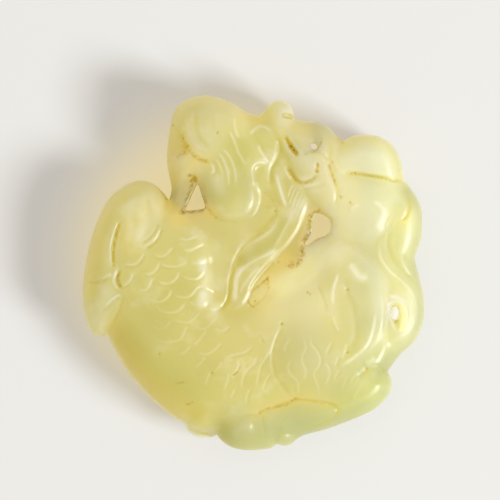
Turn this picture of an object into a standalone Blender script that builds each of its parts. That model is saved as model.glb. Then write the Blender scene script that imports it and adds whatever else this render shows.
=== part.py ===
"""Carved jade pendant: a curled scaled beast worked in one flat piece of jade.

The piece lies on its back. X runs to the right of the carving, Y to its top and Z up
through its thickness. It is made the way a carver works: a slab is sawn to the outline
with its openings, its rim is rounded, and the forms are then laid on the front one over
the other. The back has the same large forms, plainer, and ends in small flats to lie on.
"""

import math

import bmesh
import bpy
import numpy as np
from mathutils import Vector
from mathutils.geometry import delaunay_2d_cdt

# Overall sizes, in metres
HEIGHT = 0.060  # top of the head to the bottom paw
THICKNESS = 0.0145  # back flats to the highest point of the front
BACK_SHARE = 0.50  # share of the thickness that lies behind the parting line of the rim
RIM_BAND = 0.0016  # upright band left at the very rim between front and back rounding
RIM_ROUND = 0.0032  # reach of the rounding at the upper rim
FLANK_ROUND = 0.0062  # reach of the rounding along the belly, lower left
OPENING_ROUND = 0.0007  # softened edge of the sawn openings
CORD_HOLE = 0.0013  # diameter of the small drilled hole at the top
TAIL_HOLE_WIDTH = 0.0013  # drilled hole inside the tail scroll, across
TAIL_HOLE_LENGTH = 0.0023  # the same hole, along
GRID = 0.0003  # pitch of the height maps
FRONT_PITCH = 0.00055  # point spacing of the front before it is thinned
BACK_PITCH = 0.0008  # point spacing of the back before it is thinned
TRIANGLES = 9300  # faces kept in the finished body

# The drawing is 60.27 units tall, so a unit is about a millimetre
DRAWN_HEIGHT = 60.27
UNIT = HEIGHT / DRAWN_HEIGHT
RIM_HALF = RIM_BAND / 2.0 / UNIT
REST_LEVEL = -THICKNESS * BACK_SHARE / UNIT
TOP_LEVEL = THICKNESS * (1.0 - BACK_SHARE) / UNIT
REACH = 31.5  # half the side of the square that the height maps cover
RIM_RINGS = (0.12, 0.42, 0.9)  # insets of the rings of points that follow the rim
GRID_FROM_RIM = 1.2  # the even points keep this far from the rim
LOOP_STEP = 0.55  # spacing of the points along the rim and the openings

# Outline, clockwise from the notch between leaf and chin, one list for each lobe
OUTLINE = [
    [(-14.2, 12.1), (-13.8, 14.2), (-14.4, 17.5), (-14.6, 19.8), (-14.2, 23.5), (-13.6, 26.6),
     (-12.3, 28.6), (-10.2, 29.6), (-8.0, 30.0), (-5.6, 29.5), (-3.0, 28.4), (-1.0, 27.1), (0.9, 26.5)],
    [(0.9, 26.5), (1.9, 27.3), (3.0, 28.6), (4.5, 29.1), (6.0, 28.6), (6.8, 27.3), (7.1, 26.0)],
    [(7.1, 26.0), (8.8, 25.6), (11.0, 25.4), (12.9, 24.6), (14.2, 23.1), (15.2, 22.2)],
    [(15.2, 22.2), (17.2, 23.1), (19.5, 23.3), (21.8, 22.8), (23.8, 21.4), (25.1, 18.8), (25.6, 15.6)],
    [(25.6, 15.6), (27.0, 13.9), (28.4, 11.3), (28.8, 8.5), (28.5, 5.5), (27.4, 2.3)],
    [(27.4, 2.3), (28.2, -0.8), (29.0, -4.6), (28.9, -8.5), (27.4, -11.8), (24.9, -14.1), (22.9, -16.9)],
    [(22.9, -16.9), (23.6, -18.8), (22.9, -21.0), (20.6, -23.3), (17.2, -24.9), (12.4, -26.7),
     (9.0, -27.6), (7.6, -28.3), (6.6, -29.2), (5.3, -29.5), (4.2, -29.2)],
    [(4.2, -29.2), (3.0, -29.9), (0.8, -30.2), (-1.7, -30.2), (-3.9, -29.6), (-5.4, -28.5), (-6.1, -27.6)],
    [(-6.1, -27.6), (-7.6, -28.2), (-9.4, -28.0), (-10.9, -27.1), (-11.5, -25.7)],
    [(-11.5, -25.7), (-14.2, -24.1), (-17.5, -21.2), (-20.8, -17.5), (-23.2, -13.6), (-24.7, -10.6)],
    [(-24.7, -10.6), (-26.1, -10.9), (-27.3, -10.3), (-28.4, -7.8), (-28.9, -4.0), (-28.6, 0.0),
     (-27.8, 4.2), (-26.5, 8.4), (-24.5, 12.3), (-21.9, 14.6), (-19.2, 15.5), (-16.8, 14.9),
     (-15.0, 13.2), (-14.2, 12.1)],
]

# Openings that go right through, apart from the two drilled ones
CHIN_OPENING = [(-9.35, 14.9), (-8.6, 12.8), (-8.05, 11.0), (-9.0, 10.55), (-11.4, 10.45),
                (-11.0, 11.6), (-10.3, 13.3)]
CENTRE_OPENING = [(10.9, 10.0), (12.3, 9.6), (13.2, 8.7), (13.2, 7.1), (12.4, 6.2), (10.8, 5.6),
                  (9.3, 4.5), (8.8, 4.9), (9.7, 6.0), (10.0, 7.9), (10.2, 9.3)]

# Front forms in the order they are laid: top level, level at their edge, width of the
# rolled edge, lean along X and Y, and their outline
BREAST = dict(top=5.0, edge=4.8, roll=2.5, lean=(-0.03, 0.03), outline=[
    (-15.0, 14.0), (-16.0, 9.4), (-11.0, 8.6), (-8.2, 6.6), (-7.0, 3.4), (-6.5, 0.0), (-6.6, -3.0),
    (-5.4, -6.2), (-3.0, -4.0), (-2.0, 2.0), (3.0, 6.0), (4.5, 11.0), (2.0, 14.0), (-6.0, 13.0),
    (-10.0, 11.0)])
BODY = dict(top=6.4, edge=5.1, roll=6.0, lean=(0.01, 0.02), outline=[
    (-16.0, 9.0), (-11.0, 8.4), (-8.4, 6.4), (-7.3, 3.4), (-6.8, 0.0), (-6.9, -3.0), (-5.6, -6.6),
    (-1.0, -6.4), (3.4, -3.4), (6.6, -1.0), (11.0, -6.0), (14.0, -16.0), (16.0, -30.0), (-8.0, -33.0),
    (-24.0, -22.0), (-28.0, -10.0), (-24.0, 2.0), (-20.0, 6.5)])
LEAF = dict(top=6.3, edge=5.4, roll=3.4, lean=(0.03, 0.0), outline=[
    (-15.1, 12.5), (-15.2, 9.5), (-16.3, 6.3), (-18.4, 4.0), (-21.0, 2.9), (-22.6, 1.1), (-23.3, -0.6),
    (-22.7, -2.4), (-21.9, -4.2), (-22.4, -6.6), (-24.2, -10.0), (-27.0, -13.0), (-32.0, -6.0),
    (-31.0, 6.0), (-26.0, 16.0), (-19.0, 18.5), (-15.4, 15.5)])
MANE = dict(top=5.7, edge=5.1, roll=2.2, lean=(0.0, 0.0), outline=[
    (0.2, 28.5), (-0.6, 24.0), (0.6, 22.0), (1.6, 18.6), (-0.6, 17.0), (0.2, 13.6), (2.4, 13.4),
    (3.9, 11.8), (4.2, 9.6), (5.6, 7.8), (8.6, 9.0), (9.4, 12.0), (8.2, 14.6), (5.4, 18.0),
    (3.9, 22.6), (3.2, 27.0)])
HEAD = dict(top=7.0, edge=6.0, roll=3.8, lean=(0.02, -0.03), outline=[
    (-1.2, 30.0), (-0.6, 24.6), (0.7, 21.8), (1.5, 20.2), (2.6, 18.6), (0.9, 17.9), (0.2, 16.8),
    (0.6, 14.4), (0.9, 12.2), (0.1, 10.0), (-1.9, 8.8), (-5.0, 8.7), (-6.9, 10.2), (-8.0, 12.4),
    (-8.9, 15.0), (-9.9, 17.0), (-11.6, 15.8), (-12.4, 12.6), (-14.2, 11.0), (-17.0, 15.0),
    (-17.0, 28.0), (-10.0, 33.0), (-3.0, 33.0)])
CAP = dict(top=6.5, edge=5.3, roll=3.2, lean=(0.0, -0.02), outline=[
    (14.6, 21.9), (13.8, 19.4), (14.6, 16.9), (17.5, 16.7), (20.0, 16.2), (23.0, 15.7), (25.6, 15.5),
    (28.0, 17.5), (25.5, 24.5), (19.0, 26.0), (15.0, 24.0)])
SIDE_LOBE = dict(top=6.1, edge=4.9, roll=3.0, lean=(-0.03, 0.0), outline=[
    (22.0, 15.6), (28.0, 16.4), (32.0, 11.0), (31.0, 3.6), (27.2, 1.8), (24.8, 4.0), (22.4, 7.0),
    (21.0, 11.0)])
BULGE = dict(top=6.9, edge=5.5, roll=3.6, lean=(0.0, 0.01), outline=[
    (13.8, 15.2), (16.0, 16.2), (20.0, 15.8), (25.4, 15.1), (26.2, 13.0), (24.4, 11.2), (22.9, 9.2),
    (22.0, 6.4), (19.0, 5.0), (15.4, 6.2), (13.5, 9.4), (13.0, 12.6)])
TAIL = dict(top=6.0, edge=5.0, roll=2.6, lean=(-0.03, 0.0), outline=[
    (23.8, 9.4), (22.2, 7.6), (21.2, 4.6), (21.6, 1.8), (23.2, -0.6), (22.9, -3.4), (22.4, -6.6),
    (22.6, -10.0), (23.4, -13.4), (27.0, -15.0), (31.0, -10.0), (32.0, -4.0), (30.0, 1.0),
    (27.2, 2.6), (24.6, 5.2), (23.9, 7.4)])
HAUNCH = dict(top=6.9, edge=5.3, roll=6.0, lean=(0.0, 0.01), outline=[
    (9.0, 0.4), (10.5, 3.5), (13.0, 5.2), (16.2, 4.9), (19.2, 3.0), (21.8, 0.6), (22.8, -3.0),
    (22.4, -7.0), (22.9, -12.0), (24.0, -16.4), (28.0, -19.0), (25.0, -26.0), (12.0, -31.0),
    (8.0, -27.0), (6.2, -22.0), (4.2, -18.2), (3.4, -15.0), (3.7, -11.6), (4.9, -8.0), (5.8, -4.6),
    (6.9, -1.6)])
PAW = dict(top=5.9, edge=5.1, roll=2.4, lean=(0.0, 0.0), outline=[
    (1.6, -24.2), (-0.6, -24.2), (-2.8, -24.5), (-4.7, -25.2), (-6.0, -26.4), (-6.6, -28.6),
    (-4.0, -32.0), (2.0, -32.0), (4.2, -30.0), (2.4, -28.2), (1.9, -26.2)])
TOE = dict(top=4.9, edge=4.2, roll=1.4, lean=(0.0, 0.0), outline=[
    (4.2, -29.8), (4.2, -28.3), (5.0, -27.4), (6.4, -27.3), (7.5, -28.2), (7.2, -30.2), (5.6, -31.0)])
FOOT = dict(top=6.6, edge=5.9, roll=1.8, lean=(0.0, 0.03), outline=[
    (1.1, -23.8), (3.2, -22.7), (6.3, -21.8), (10.0, -21.6), (13.0, -22.0), (14.4, -22.9),
    (14.2, -24.0), (12.5, -25.2), (9.0, -26.5), (6.0, -27.4), (3.6, -29.6), (2.4, -28.3), (1.9, -26.1)])
FRONT_FORMS = [BREAST, BODY, LEAF, MANE, HEAD, CAP, SIDE_LOBE, BULGE, TAIL, HAUNCH, PAW, TOE, FOOT]

# Rounded bands laid over the forms: centre line, half widths from start to end, level of
# the crown and how far the sides drop from it
LIMB = dict(path=[(4.4, 27.2), (5.8, 24.8), (8.2, 21.4), (10.2, 18.2), (12.2, 14.9), (14.4, 12.2), (16.8, 9.8)],
            widths=(1.9, 2.8, 3.5, 3.2, 2.6), top=6.8, drop=1.1)
LIMB_LOBE = dict(path=[(7.6, 23.6), (10.4, 22.6), (12.6, 21.0), (13.4, 18.6)],
                 widths=(1.8, 2.6, 2.2, 1.0), top=6.1, drop=0.8)
STRAP = dict(path=[(8.2, 14.4), (7.6, 11.6), (6.3, 8.8), (4.3, 5.6), (1.7, 3.2), (-0.5, 0.6), (-1.9, -2.0),
                   (-3.0, -4.8), (-5.2, -7.2)],
             widths=(0.9, 1.9, 2.3, 2.6, 2.5, 2.2, 1.5, 0.5), top=6.7, drop=0.9)
STRAND = dict(path=[(3.7, 18.4), (4.1, 15.4), (4.7, 13.0), (5.6, 10.6)], widths=(0.5, 1.0, 0.8, 0.4),
              top=6.3, drop=0.6)
SHIN = dict(path=[(14.8, 0.8), (13.8, -2.4), (13.5, -5.6), (14.1, -8.8), (15.2, -11.0)],
            widths=(0.5, 0.9, 1.0, 0.7, 0.4), top=7.15, drop=0.4)
CREST = dict(path=[(18.6, 1.0), (20.0, -3.0), (20.4, -6.6), (19.9, -9.8), (18.6, -12.4), (16.6, -14.6),
                   (13.6, -16.2)],
             widths=(0.9, 1.7, 2.0, 1.9, 1.5, 0.6), top=7.2, drop=0.8)
SCROLL = dict(path=[(22.2, 7.4), (21.7, 5.0), (22.0, 2.5), (23.3, 0.3), (25.1, -1.6), (26.6, -3.6),
                    (27.2, -6.2), (26.6, -9.0), (25.0, -11.8)],
              widths=(0.5, 0.9, 1.2, 1.2, 1.0, 0.5), top=6.0, drop=0.9)
FRONT_BANDS = [LIMB_LOBE, LIMB, STRAND, STRAP, SHIN, CREST, SCROLL]

# Pockets cut down into the front: level of the floor, width of the sloping wall, outline
LOW_GROUND = dict(floor=4.0, wall=1.2, outline=[
    (9.2, 9.4), (9.8, 5.6), (8.8, 1.4), (6.4, -0.8), (3.2, -2.2), (0.8, -4.2), (-1.0, -5.8), (0.4, -2.6),
    (3.0, 0.4), (5.6, 3.0), (7.4, 6.2)])
PIT_BY_OPENING = dict(floor=2.4, wall=0.7, outline=[
    (9.9, 9.6), (10.4, 8.0), (9.8, 5.6), (9.0, 4.6), (8.6, 2.4), (7.4, 1.4), (6.3, 1.1), (5.9, 2.2),
    (7.0, 4.8), (8.2, 7.6), (8.9, 9.4)])
CENTRE_PIT = dict(floor=3.6, wall=1.0, outline=[
    (2.5, -1.2), (0.8, -2.4), (-0.3, -4.2), (-0.4, -5.5), (0.5, -5.4), (1.9, -4.2), (2.8, -2.7)])
MOUTH = dict(floor=4.0, wall=0.9, outline=[
    (-11.8, 24.2), (-11.2, 22.6), (-10.6, 20.6), (-11.6, 20.0), (-12.4, 20.4), (-12.5, 22.2)])
CHIN_CUT = dict(floor=2.6, wall=0.9, outline=[
    (-10.8, 16.1), (-9.8, 15.7), (-9.2, 14.2), (-8.4, 11.6), (-8.4, 10.6), (-11.6, 10.3), (-11.5, 11.4),
    (-11.1, 13.4)])
NECK_POCKET = dict(floor=4.9, wall=0.8, outline=[
    (1.0, 11.6), (2.0, 13.1), (3.1, 12.3), (3.7, 10.8), (3.4, 8.8), (2.2, 7.4), (0.6, 6.4), (-1.2, 6.6),
    (-1.6, 8.2), (0.3, 9.4)])
TAIL_POCKET = dict(floor=2.6, wall=0.9, outline=[
    (23.4, -5.4), (24.6, -5.1), (25.4, -6.4), (25.4, -8.6), (24.8, -9.8), (24.0, -9.0), (23.5, -7.4)])
LOBE_SLOT = dict(floor=3.4, wall=0.45, outline=[
    (5.5, 22.9), (6.3, 22.3), (7.6, 20.0), (7.3, 19.6), (6.2, 20.9)])
LEAF_SLOT = dict(floor=3.9, wall=0.4, outline=[
    (-22.6, 8.2), (-22.8, 6.4), (-23.3, 4.0), (-23.2, 1.5), (-23.7, 1.6), (-23.9, 4.0), (-23.5, 6.4)])
KNOB_PIT = dict(floor=3.8, wall=0.5, outline=[(5.2, 26.5), (5.8, 26.9), (6.5, 26.4), (5.9, 25.9)])
REVERSE_LEDGE = dict(floor=-0.3, wall=0.5, outline=[
    (-12.6, -25.8), (-10.6, -26.3), (-8.4, -26.9), (-6.2, -27.7), (-5.9, -30.5), (-11.0, -30.5), (-13.6, -27.0)])
FRONT_POCKETS = [LOW_GROUND, PIT_BY_OPENING, CENTRE_PIT, MOUTH, CHIN_CUT, NECK_POCKET, TAIL_POCKET, LOBE_SLOT,
                 LEAF_SLOT, KNOB_PIT, REVERSE_LEDGE]

# Lines cut or raised on the front: depth below (or height above) the surface, half width, path
FRONT_LINES = [
    (-0.7, 0.5, [(15.0, 16.8), (17.5, 16.8), (20.0, 16.2), (23.0, 15.7), (25.6, 15.5)]),
    (-0.6, 0.6, [(13.4, 22.4), (12.8, 19.4), (13.6, 16.4), (14.4, 13.6), (14.0, 10.6)]),
    (-0.6, 0.5, [(5.4, 18.4), (7.0, 15.8), (8.6, 13.8), (10.2, 11.6)]),
    (-0.5, 0.5, [(10.8, 18.2), (10.8, 16.5), (9.5, 15.3), (7.8, 15.2)]),
    (-0.4, 0.5, [(12.6, 14.6), (10.6, 14.7), (8.8, 13.9)]),
    (-0.5, 0.5, [(-10.9, 20.0), (-9.3, 19.0), (-7.8, 18.9), (-6.6, 18.0), (-6.5, 16.8), (-7.1, 16.1)]),
    (-0.4, 0.5, [(-6.4, 24.6), (-5.4, 21.4), (-3.9, 18.4), (-3.3, 15.0)]),
    (-0.4, 0.5, [(-8.6, 23.6), (-7.4, 20.8), (-5.4, 18.2), (-4.7, 14.8)]),
    (-0.4, 0.5, [(-3.1, 25.6), (-2.8, 21.6), (-1.6, 18.2)]),
    (0.4, 0.6, [(-0.6, 23.0), (0.2, 24.4), (1.6, 24.8)]),
    (0.5, 0.8, [(0.1, 16.2), (-0.2, 13.8), (-0.9, 11.6)]),
    (-0.5, 0.5, [(4.6, 23.0), (4.4, 20.0), (3.0, 17.0), (3.2, 14.6)]),
    (-0.5, 0.6, [(-7.0, 5.0), (-6.6, 0.0), (-6.4, -3.0), (-6.2, -6.0)]),
    (0.5, 0.7, [(7.0, 10.0), (5.6, 6.6), (3.6, 4.2), (0.6, 2.0), (-2.2, 0.2), (-2.9, -2.6), (-3.2, -5.2)]),
    (-0.4, 0.5, [(3.6, 1.8), (0.9, 0.6), (-0.8, -1.4), (-1.8, -3.6)]),
    (-0.6, 0.7, [(-18.6, 5.2), (-17.4, 7.8), (-16.2, 10.8)]),
    (-0.5, 0.5, [(-28.3, -1.6), (-26.2, -1.8), (-24.2, -0.9), (-23.2, 0.8)]),
    (-0.6, 1.0, [(15.6, -1.4), (15.5, -5.0), (16.2, -8.8), (16.4, -12.0)]),
    (-0.5, 0.5, [(23.1, 7.2), (22.8, 4.8), (23.6, 2.4), (25.4, 0.4), (27.4, -1.6)]),
    (-0.5, 0.5, [(25.9, 12.6), (26.4, 10.8), (25.7, 9.0)]),
    (-0.4, 0.5, [(4.9, -8.4), (3.8, -11.6), (3.4, -15.0), (4.2, -18.2), (6.2, -21.2)]),
    (-0.5, 0.6, [(22.9, -16.6), (20.6, -15.9), (18.6, -16.6)]),
]

# Back forms, the same beast seen from behind and left plainer
BACK_BODY = dict(top=7.45, edge=4.8, roll=9.5, lean=(0.0, 0.0), outline=[
    (-17.0, 9.0), (-9.0, 8.0), (-6.0, 2.0), (-5.0, -5.0), (2.0, -8.0), (9.0, -8.0), (16.0, -14.0),
    (20.0, -30.0), (-8.0, -34.0), (-26.0, -22.0), (-29.0, -10.0), (-24.0, 2.0)])
BACK_LEAF = dict(top=6.2, edge=4.8, roll=3.5, lean=(0.0, 0.0), outline=LEAF["outline"])
BACK_HEAD = dict(top=7.5, edge=5.2, roll=5.5, lean=(0.0, 0.0), outline=[
    (1.0, 29.0), (3.0, 22.0), (2.4, 16.0), (0.4, 10.4), (-4.0, 8.6), (-8.0, 11.0), (-9.6, 16.0),
    (-12.4, 14.0), (-17.0, 14.0), (-18.0, 28.0), (-9.0, 34.0)])
BACK_LIMB = dict(top=6.7, edge=5.0, roll=4.0, lean=(0.0, 0.0), outline=[
    (2.0, 30.0), (3.4, 22.0), (7.0, 16.0), (10.0, 11.4), (13.6, 10.6), (15.4, 14.0), (14.4, 20.0),
    (15.6, 25.0), (8.0, 30.0)])
BACK_BULGE = dict(top=7.6, edge=5.0, roll=5.5, lean=(0.0, 0.0), outline=[
    (15.2, 22.8), (15.6, 14.0), (14.2, 8.4), (18.0, 5.8), (22.0, 6.2), (28.0, 2.4), (33.0, 8.0),
    (29.0, 20.0), (20.0, 28.0)])
BACK_HAUNCH = dict(top=7.5, edge=5.0, roll=8.0, lean=(0.0, 0.0), outline=[
    (8.6, 1.0), (12.0, 5.0), (17.0, 4.8), (22.0, 1.0), (23.0, -6.0), (23.6, -16.0), (16.0, -24.0),
    (7.0, -23.0), (2.4, -15.0), (4.4, -6.0)])
BACK_CHEST = dict(top=6.1, edge=4.8, roll=3.0, lean=(0.0, 0.0), outline=[
    (-9.0, 9.0), (-5.6, 3.0), (-4.6, -4.0), (2.0, -6.4), (7.0, -1.0), (7.4, 6.0), (8.6, 12.0),
    (3.0, 18.0), (0.8, 9.6), (-4.0, 7.6)])
BACK_FORMS = [BACK_CHEST, BACK_BODY, BACK_LEAF, BACK_LIMB, BACK_HEAD, BACK_BULGE, TAIL, BACK_HAUNCH, PAW]
BACK_LINES = [
    (-0.9, 0.8, [(-23.4, 0.0), (-21.0, 3.4), (-16.4, 6.6), (-15.2, 11.0), (-14.2, 12.4)]),
    (-0.9, 0.8, [(0.9, 27.0), (2.4, 22.0), (3.0, 17.0), (1.6, 12.0), (-1.0, 9.0)]),
    (-0.9, 0.8, [(15.2, 22.6), (14.8, 18.0), (15.4, 13.0), (14.0, 9.8)]),
    (-0.9, 0.8, [(27.2, 2.4), (23.0, 3.6), (19.0, 5.2), (15.0, 5.8)]),
    (-0.8, 0.8, [(8.0, 1.2), (5.4, -4.0), (3.6, -9.4), (2.8, -14.6), (5.0, -20.0), (8.6, -23.4)]),
    (-0.8, 0.8, [(-6.2, -25.8), (-3.0, -24.6), (1.0, -24.8), (4.0, -26.8)]),
    (-0.7, 0.7, [(22.8, -2.0), (23.0, -8.0), (22.8, -14.0)]),
    (-0.7, 0.8, [(-6.8, 5.0), (-5.6, 0.0), (-5.0, -4.6)]),
]


def clear_scene():
    """Remove everything the scene starts with."""
    for item in list(bpy.data.objects):
        bpy.data.objects.remove(item, do_unlink=True)


def curve_through(points, step, closed):
    """Points at an even step along a smooth curve through the given points."""
    given = [np.array(p, float) for p in points]
    count = len(given)
    spans = count if closed else count - 1
    fine = []
    for i in range(spans):
        here = given[i]
        there = given[(i + 1) % count]
        before = given[i - 1] if closed or i > 0 else 2 * here - there
        after = given[(i + 2) % count] if closed or i + 2 < count else 2 * there - here
        for t in np.linspace(0.0, 1.0, 12, endpoint=False):
            fine.append(0.5 * (2 * here + (there - before) * t
                               + (2 * before - 5 * here + 4 * there - after) * t * t
                               + (3 * here - 3 * there + after - before) * t ** 3))
    fine.append(given[0] if closed else given[-1])
    fine = np.array(fine)
    along = np.concatenate([[0.0], np.cumsum(np.hypot(*np.diff(fine, axis=0).T))])
    pieces = max(3, int(round(along[-1] / step)))
    at = np.linspace(0.0, along[-1], pieces + 1)
    even = np.column_stack([np.interp(at, along, fine[:, k]) for k in (0, 1)])
    return even[:-1] if closed else even


def rim_loop(step):
    """The whole outline as one closed loop, sharp at the notches between lobes."""
    return np.concatenate([curve_through(lobe, step, False)[:-1] for lobe in OUTLINE])


def drilled(x, y, width, length, step):
    """Closed loop of a drilled hole, upright and longer than wide or round."""
    count = max(10, int(round(math.pi * (width + length) / 2 / step)))
    turn = np.linspace(0.0, 2 * math.pi, count, endpoint=False)
    return np.column_stack([x + width / 2 * np.cos(turn), y + length / 2 * np.sin(turn)])


def opening_loops(step):
    """Loops of all the openings that pass through the piece."""
    return [
        curve_through(CHIN_OPENING, step, True),
        curve_through(CENTRE_OPENING, step, True),
        drilled(10.4, 21.3, CORD_HOLE / UNIT, CORD_HOLE / UNIT, step),
        drilled(24.2, -7.0, TAIL_HOLE_WIDTH / UNIT, TAIL_HOLE_LENGTH / UNIT, step),
    ]


def measure(path, x, y, closed):
    """Distance from a path, share of the way along it, and whether a point is inside."""
    ends = np.roll(path, -1, axis=0) if closed else path[1:]
    starts = path if closed else path[:-1]
    best = np.full(x.shape, 1e9)
    share = np.zeros(x.shape)
    inside = np.zeros(x.shape, bool)
    for i, (a, b) in enumerate(zip(starts, ends)):
        run = b - a
        t = np.clip(((x - a[0]) * run[0] + (y - a[1]) * run[1]) / max(run @ run, 1e-12), 0.0, 1.0)
        gap = (x - a[0] - t * run[0]) ** 2 + (y - a[1] - t * run[1]) ** 2
        nearer = gap < best
        best = np.where(nearer, gap, best)
        share = np.where(nearer, (i + t) / len(starts), share)
        if closed and a[1] != b[1]:
            crossed = (a[1] > y) != (b[1] > y)
            inside ^= crossed & (x < a[0] + (y - a[1]) * run[0] / (b[1] - a[1]))
    return np.sqrt(best), share, inside


def quarter_round(share):
    """Height of a rolled edge, nought at its foot and one where it ends."""
    return np.sqrt(1.0 - (1.0 - np.clip(share, 0.0, 1.0)) ** 2)


def ease(share):
    """Smooth step from nought to one."""
    share = np.clip(share, 0.0, 1.0)
    return share * share * (3.0 - 2.0 * share)


class Relief:
    """Height map of one side, carved form by form."""

    def __init__(self, level):
        self.pitch = GRID / UNIT
        self.line = np.arange(-REACH, REACH + self.pitch, self.pitch)
        self.x, self.y = np.meshgrid(self.line, self.line, indexing="ij")
        self.z = np.full(self.x.shape, level)

    def window(self, path, margin):
        """Part of the map that a path can reach."""
        low = np.searchsorted(self.line, path.min(axis=0) - margin)
        high = np.searchsorted(self.line, path.max(axis=0) + margin)
        return slice(low[0], high[0] + 1), slice(low[1], high[1] + 1)

    def lay(self, form, soft=0.5):
        """Lay a rounded form over what is there."""
        loop = curve_through(form["outline"], 1.0, True)
        part = self.window(loop, 1.0)
        x, y = self.x[part], self.y[part]
        away, _, inside = measure(loop, x, y, True)
        centre = loop.mean(axis=0)
        level = form["edge"] + (form["top"] - form["edge"]) * quarter_round(away / form["roll"])
        level = level + form["lean"][0] * (x - centre[0]) + form["lean"][1] * (y - centre[1])
        weight = np.where(inside, ease(away / soft), 0.0)
        self.z[part] = self.z[part] * (1 - weight) + level * weight

    def sweep(self, band):
        """Raise a rounded band along a path."""
        path = curve_through(band["path"], 0.6, False)
        widths = band["widths"]
        part = self.window(path, max(widths) + 0.5)
        away, share, _ = measure(path, self.x[part], self.y[part], False)
        width = np.interp(share, np.linspace(0, 1, len(widths)), widths)
        round_off = quarter_round(1.0 - away / width)
        level = band["top"] - band["drop"] * (1.0 - round_off)
        bury = np.interp(share, (0.0, 0.12, 0.88, 1.0), (1.2, 0.0, 0.0, 1.2))
        level = np.where(away < width, level - bury, -9.0)
        self.z[part] = np.maximum(self.z[part], level)

    def sink(self, pocket):
        """Cut a pocket with sloping walls."""
        loop = curve_through(pocket["outline"], 0.5, True)
        wall = pocket["wall"]
        part = self.window(loop, 0.5)
        away, _, inside = measure(loop, self.x[part], self.y[part], True)
        weight = np.where(inside, ease(away / wall * 0.7 + 0.3), ease(0.3 - away / wall * 0.7))
        floor = np.minimum(self.z[part], pocket["floor"])
        self.z[part] = self.z[part] * (1 - weight) + floor * weight

    def score(self, depth, half_width, points):
        """Cut a line, or raise one, that fades at both ends."""
        path = curve_through(points, 0.5, False)
        part = self.window(path, half_width * 3)
        away, share, _ = measure(path, self.x[part], self.y[part], False)
        fade = ease(np.minimum(share, 1.0 - share) * 6.0 + 0.15)
        self.z[part] += depth * fade * np.exp(-(away / half_width) ** 2)

    def soften(self, times):
        """Rub the whole side down a little."""
        for _ in range(times):
            z = np.pad(self.z, 1, mode="edge")
            self.z = (4 * self.z + 2 * (z[:-2, 1:-1] + z[2:, 1:-1] + z[1:-1, :-2] + z[1:-1, 2:])
                      + z[:-2, :-2] + z[:-2, 2:] + z[2:, :-2] + z[2:, 2:]) / 16.0

    def height(self, x, y):
        """Height at any place, read between the points of the map."""
        u = (x - self.line[0]) / self.pitch
        v = (y - self.line[0]) / self.pitch
        i = np.clip(u.astype(int), 0, len(self.line) - 2)
        j = np.clip(v.astype(int), 0, len(self.line) - 2)
        u = u - i
        v = v - j
        return ((1 - u) * (1 - v) * self.z[i, j] + u * (1 - v) * self.z[i + 1, j]
                + (1 - u) * v * self.z[i, j + 1] + u * v * self.z[i + 1, j + 1])


def carve_front():
    """Height map of the front above the parting line of the rim."""
    front = Relief(5.0)
    for form in FRONT_FORMS:
        front.lay(form)
    front.soften(2)
    for band in FRONT_BANDS:
        front.sweep(band)
    for depth, half_width, path in FRONT_LINES:
        front.score(depth, half_width, path)
    for pocket in FRONT_POCKETS:
        front.sink(pocket)
    front.soften(1)
    return front


def carve_back():
    """Height map of the back, measured away from the parting line."""
    back = Relief(5.2)
    for form in BACK_FORMS:
        back.lay(form, 1.2)
    for depth, half_width, path in BACK_LINES:
        back.score(depth, half_width, path)
    back.soften(4)
    return back


def points_inside(pitch, rim, openings):
    """Even points over the piece, closer together where the rim rolls away."""
    across = np.arange(-REACH, REACH, pitch)
    up = np.arange(-REACH, REACH, pitch * math.sqrt(3) / 2)
    x, y = np.meshgrid(across, up)
    x[1::2] += pitch / 2
    spreads = [(np.column_stack([x.ravel(), y.ravel()]), GRID_FROM_RIM)]
    along = np.roll(rim, -1, axis=0) - np.roll(rim, 1, axis=0)
    inward = np.column_stack([along[:, 1], -along[:, 0]]) / np.hypot(*along.T)[:, None]
    for k, inset in enumerate(RIM_RINGS):
        every_other = slice(k % 2, None, 2)
        spreads.append((rim[every_other] + inward[every_other] * inset, inset * 0.9))
    kept = []
    for points, least in spreads:
        away, _, inside = measure(rim, points[:, 0], points[:, 1], True)
        good = inside & (away > least)
        for opening in openings:
            gap, _, within = measure(opening, points[:, 0], points[:, 1], True)
            good &= ~within & (gap > pitch * 0.45)
        kept.append(points[good])
    return np.concatenate(kept)


def triangles_between(loops, points):
    """Triangles over the piece that keep every loop as an edge."""
    places = np.concatenate(loops + [points])
    edges = []
    first = 0
    for loop in loops:
        count = len(loop)
        edges += [(first + i, first + (i + 1) % count) for i in range(count)]
        first += count
    found = delaunay_2d_cdt([Vector(p) for p in places], edges, [], 0, 1e-7)
    if len(found[0]) != len(places):
        raise RuntimeError("points of the drawing fall together")
    faces = np.array([f for f in found[2] if len(f) == 3])
    middle = places[faces].mean(axis=1)
    good = measure(loops[0], middle[:, 0], middle[:, 1], True)[2]
    for opening in loops[1:]:
        good &= ~measure(opening, middle[:, 0], middle[:, 1], True)[2]
    return places, faces[good]


def rolled(side, places, rim, openings):
    """Height of one side with its rim and its openings rounded over."""
    x, y = places[:, 0], places[:, 1]
    level = side.height(x, y)
    away = measure(rim, x, y, True)[0]
    low = ease((-(0.65 * x + 0.75 * y) - 12.0) / 9.0)
    reach = (RIM_ROUND + (FLANK_ROUND - RIM_ROUND) * low) / UNIT
    foot = np.minimum(level, RIM_HALF)
    level = foot + (level - foot) * quarter_round(away / reach)
    soft = OPENING_ROUND / UNIT
    for opening in openings:
        gap = measure(opening, x, y, True)[0]
        level = level - soft * (1.0 - quarter_round(gap / soft))
    return level


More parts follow.
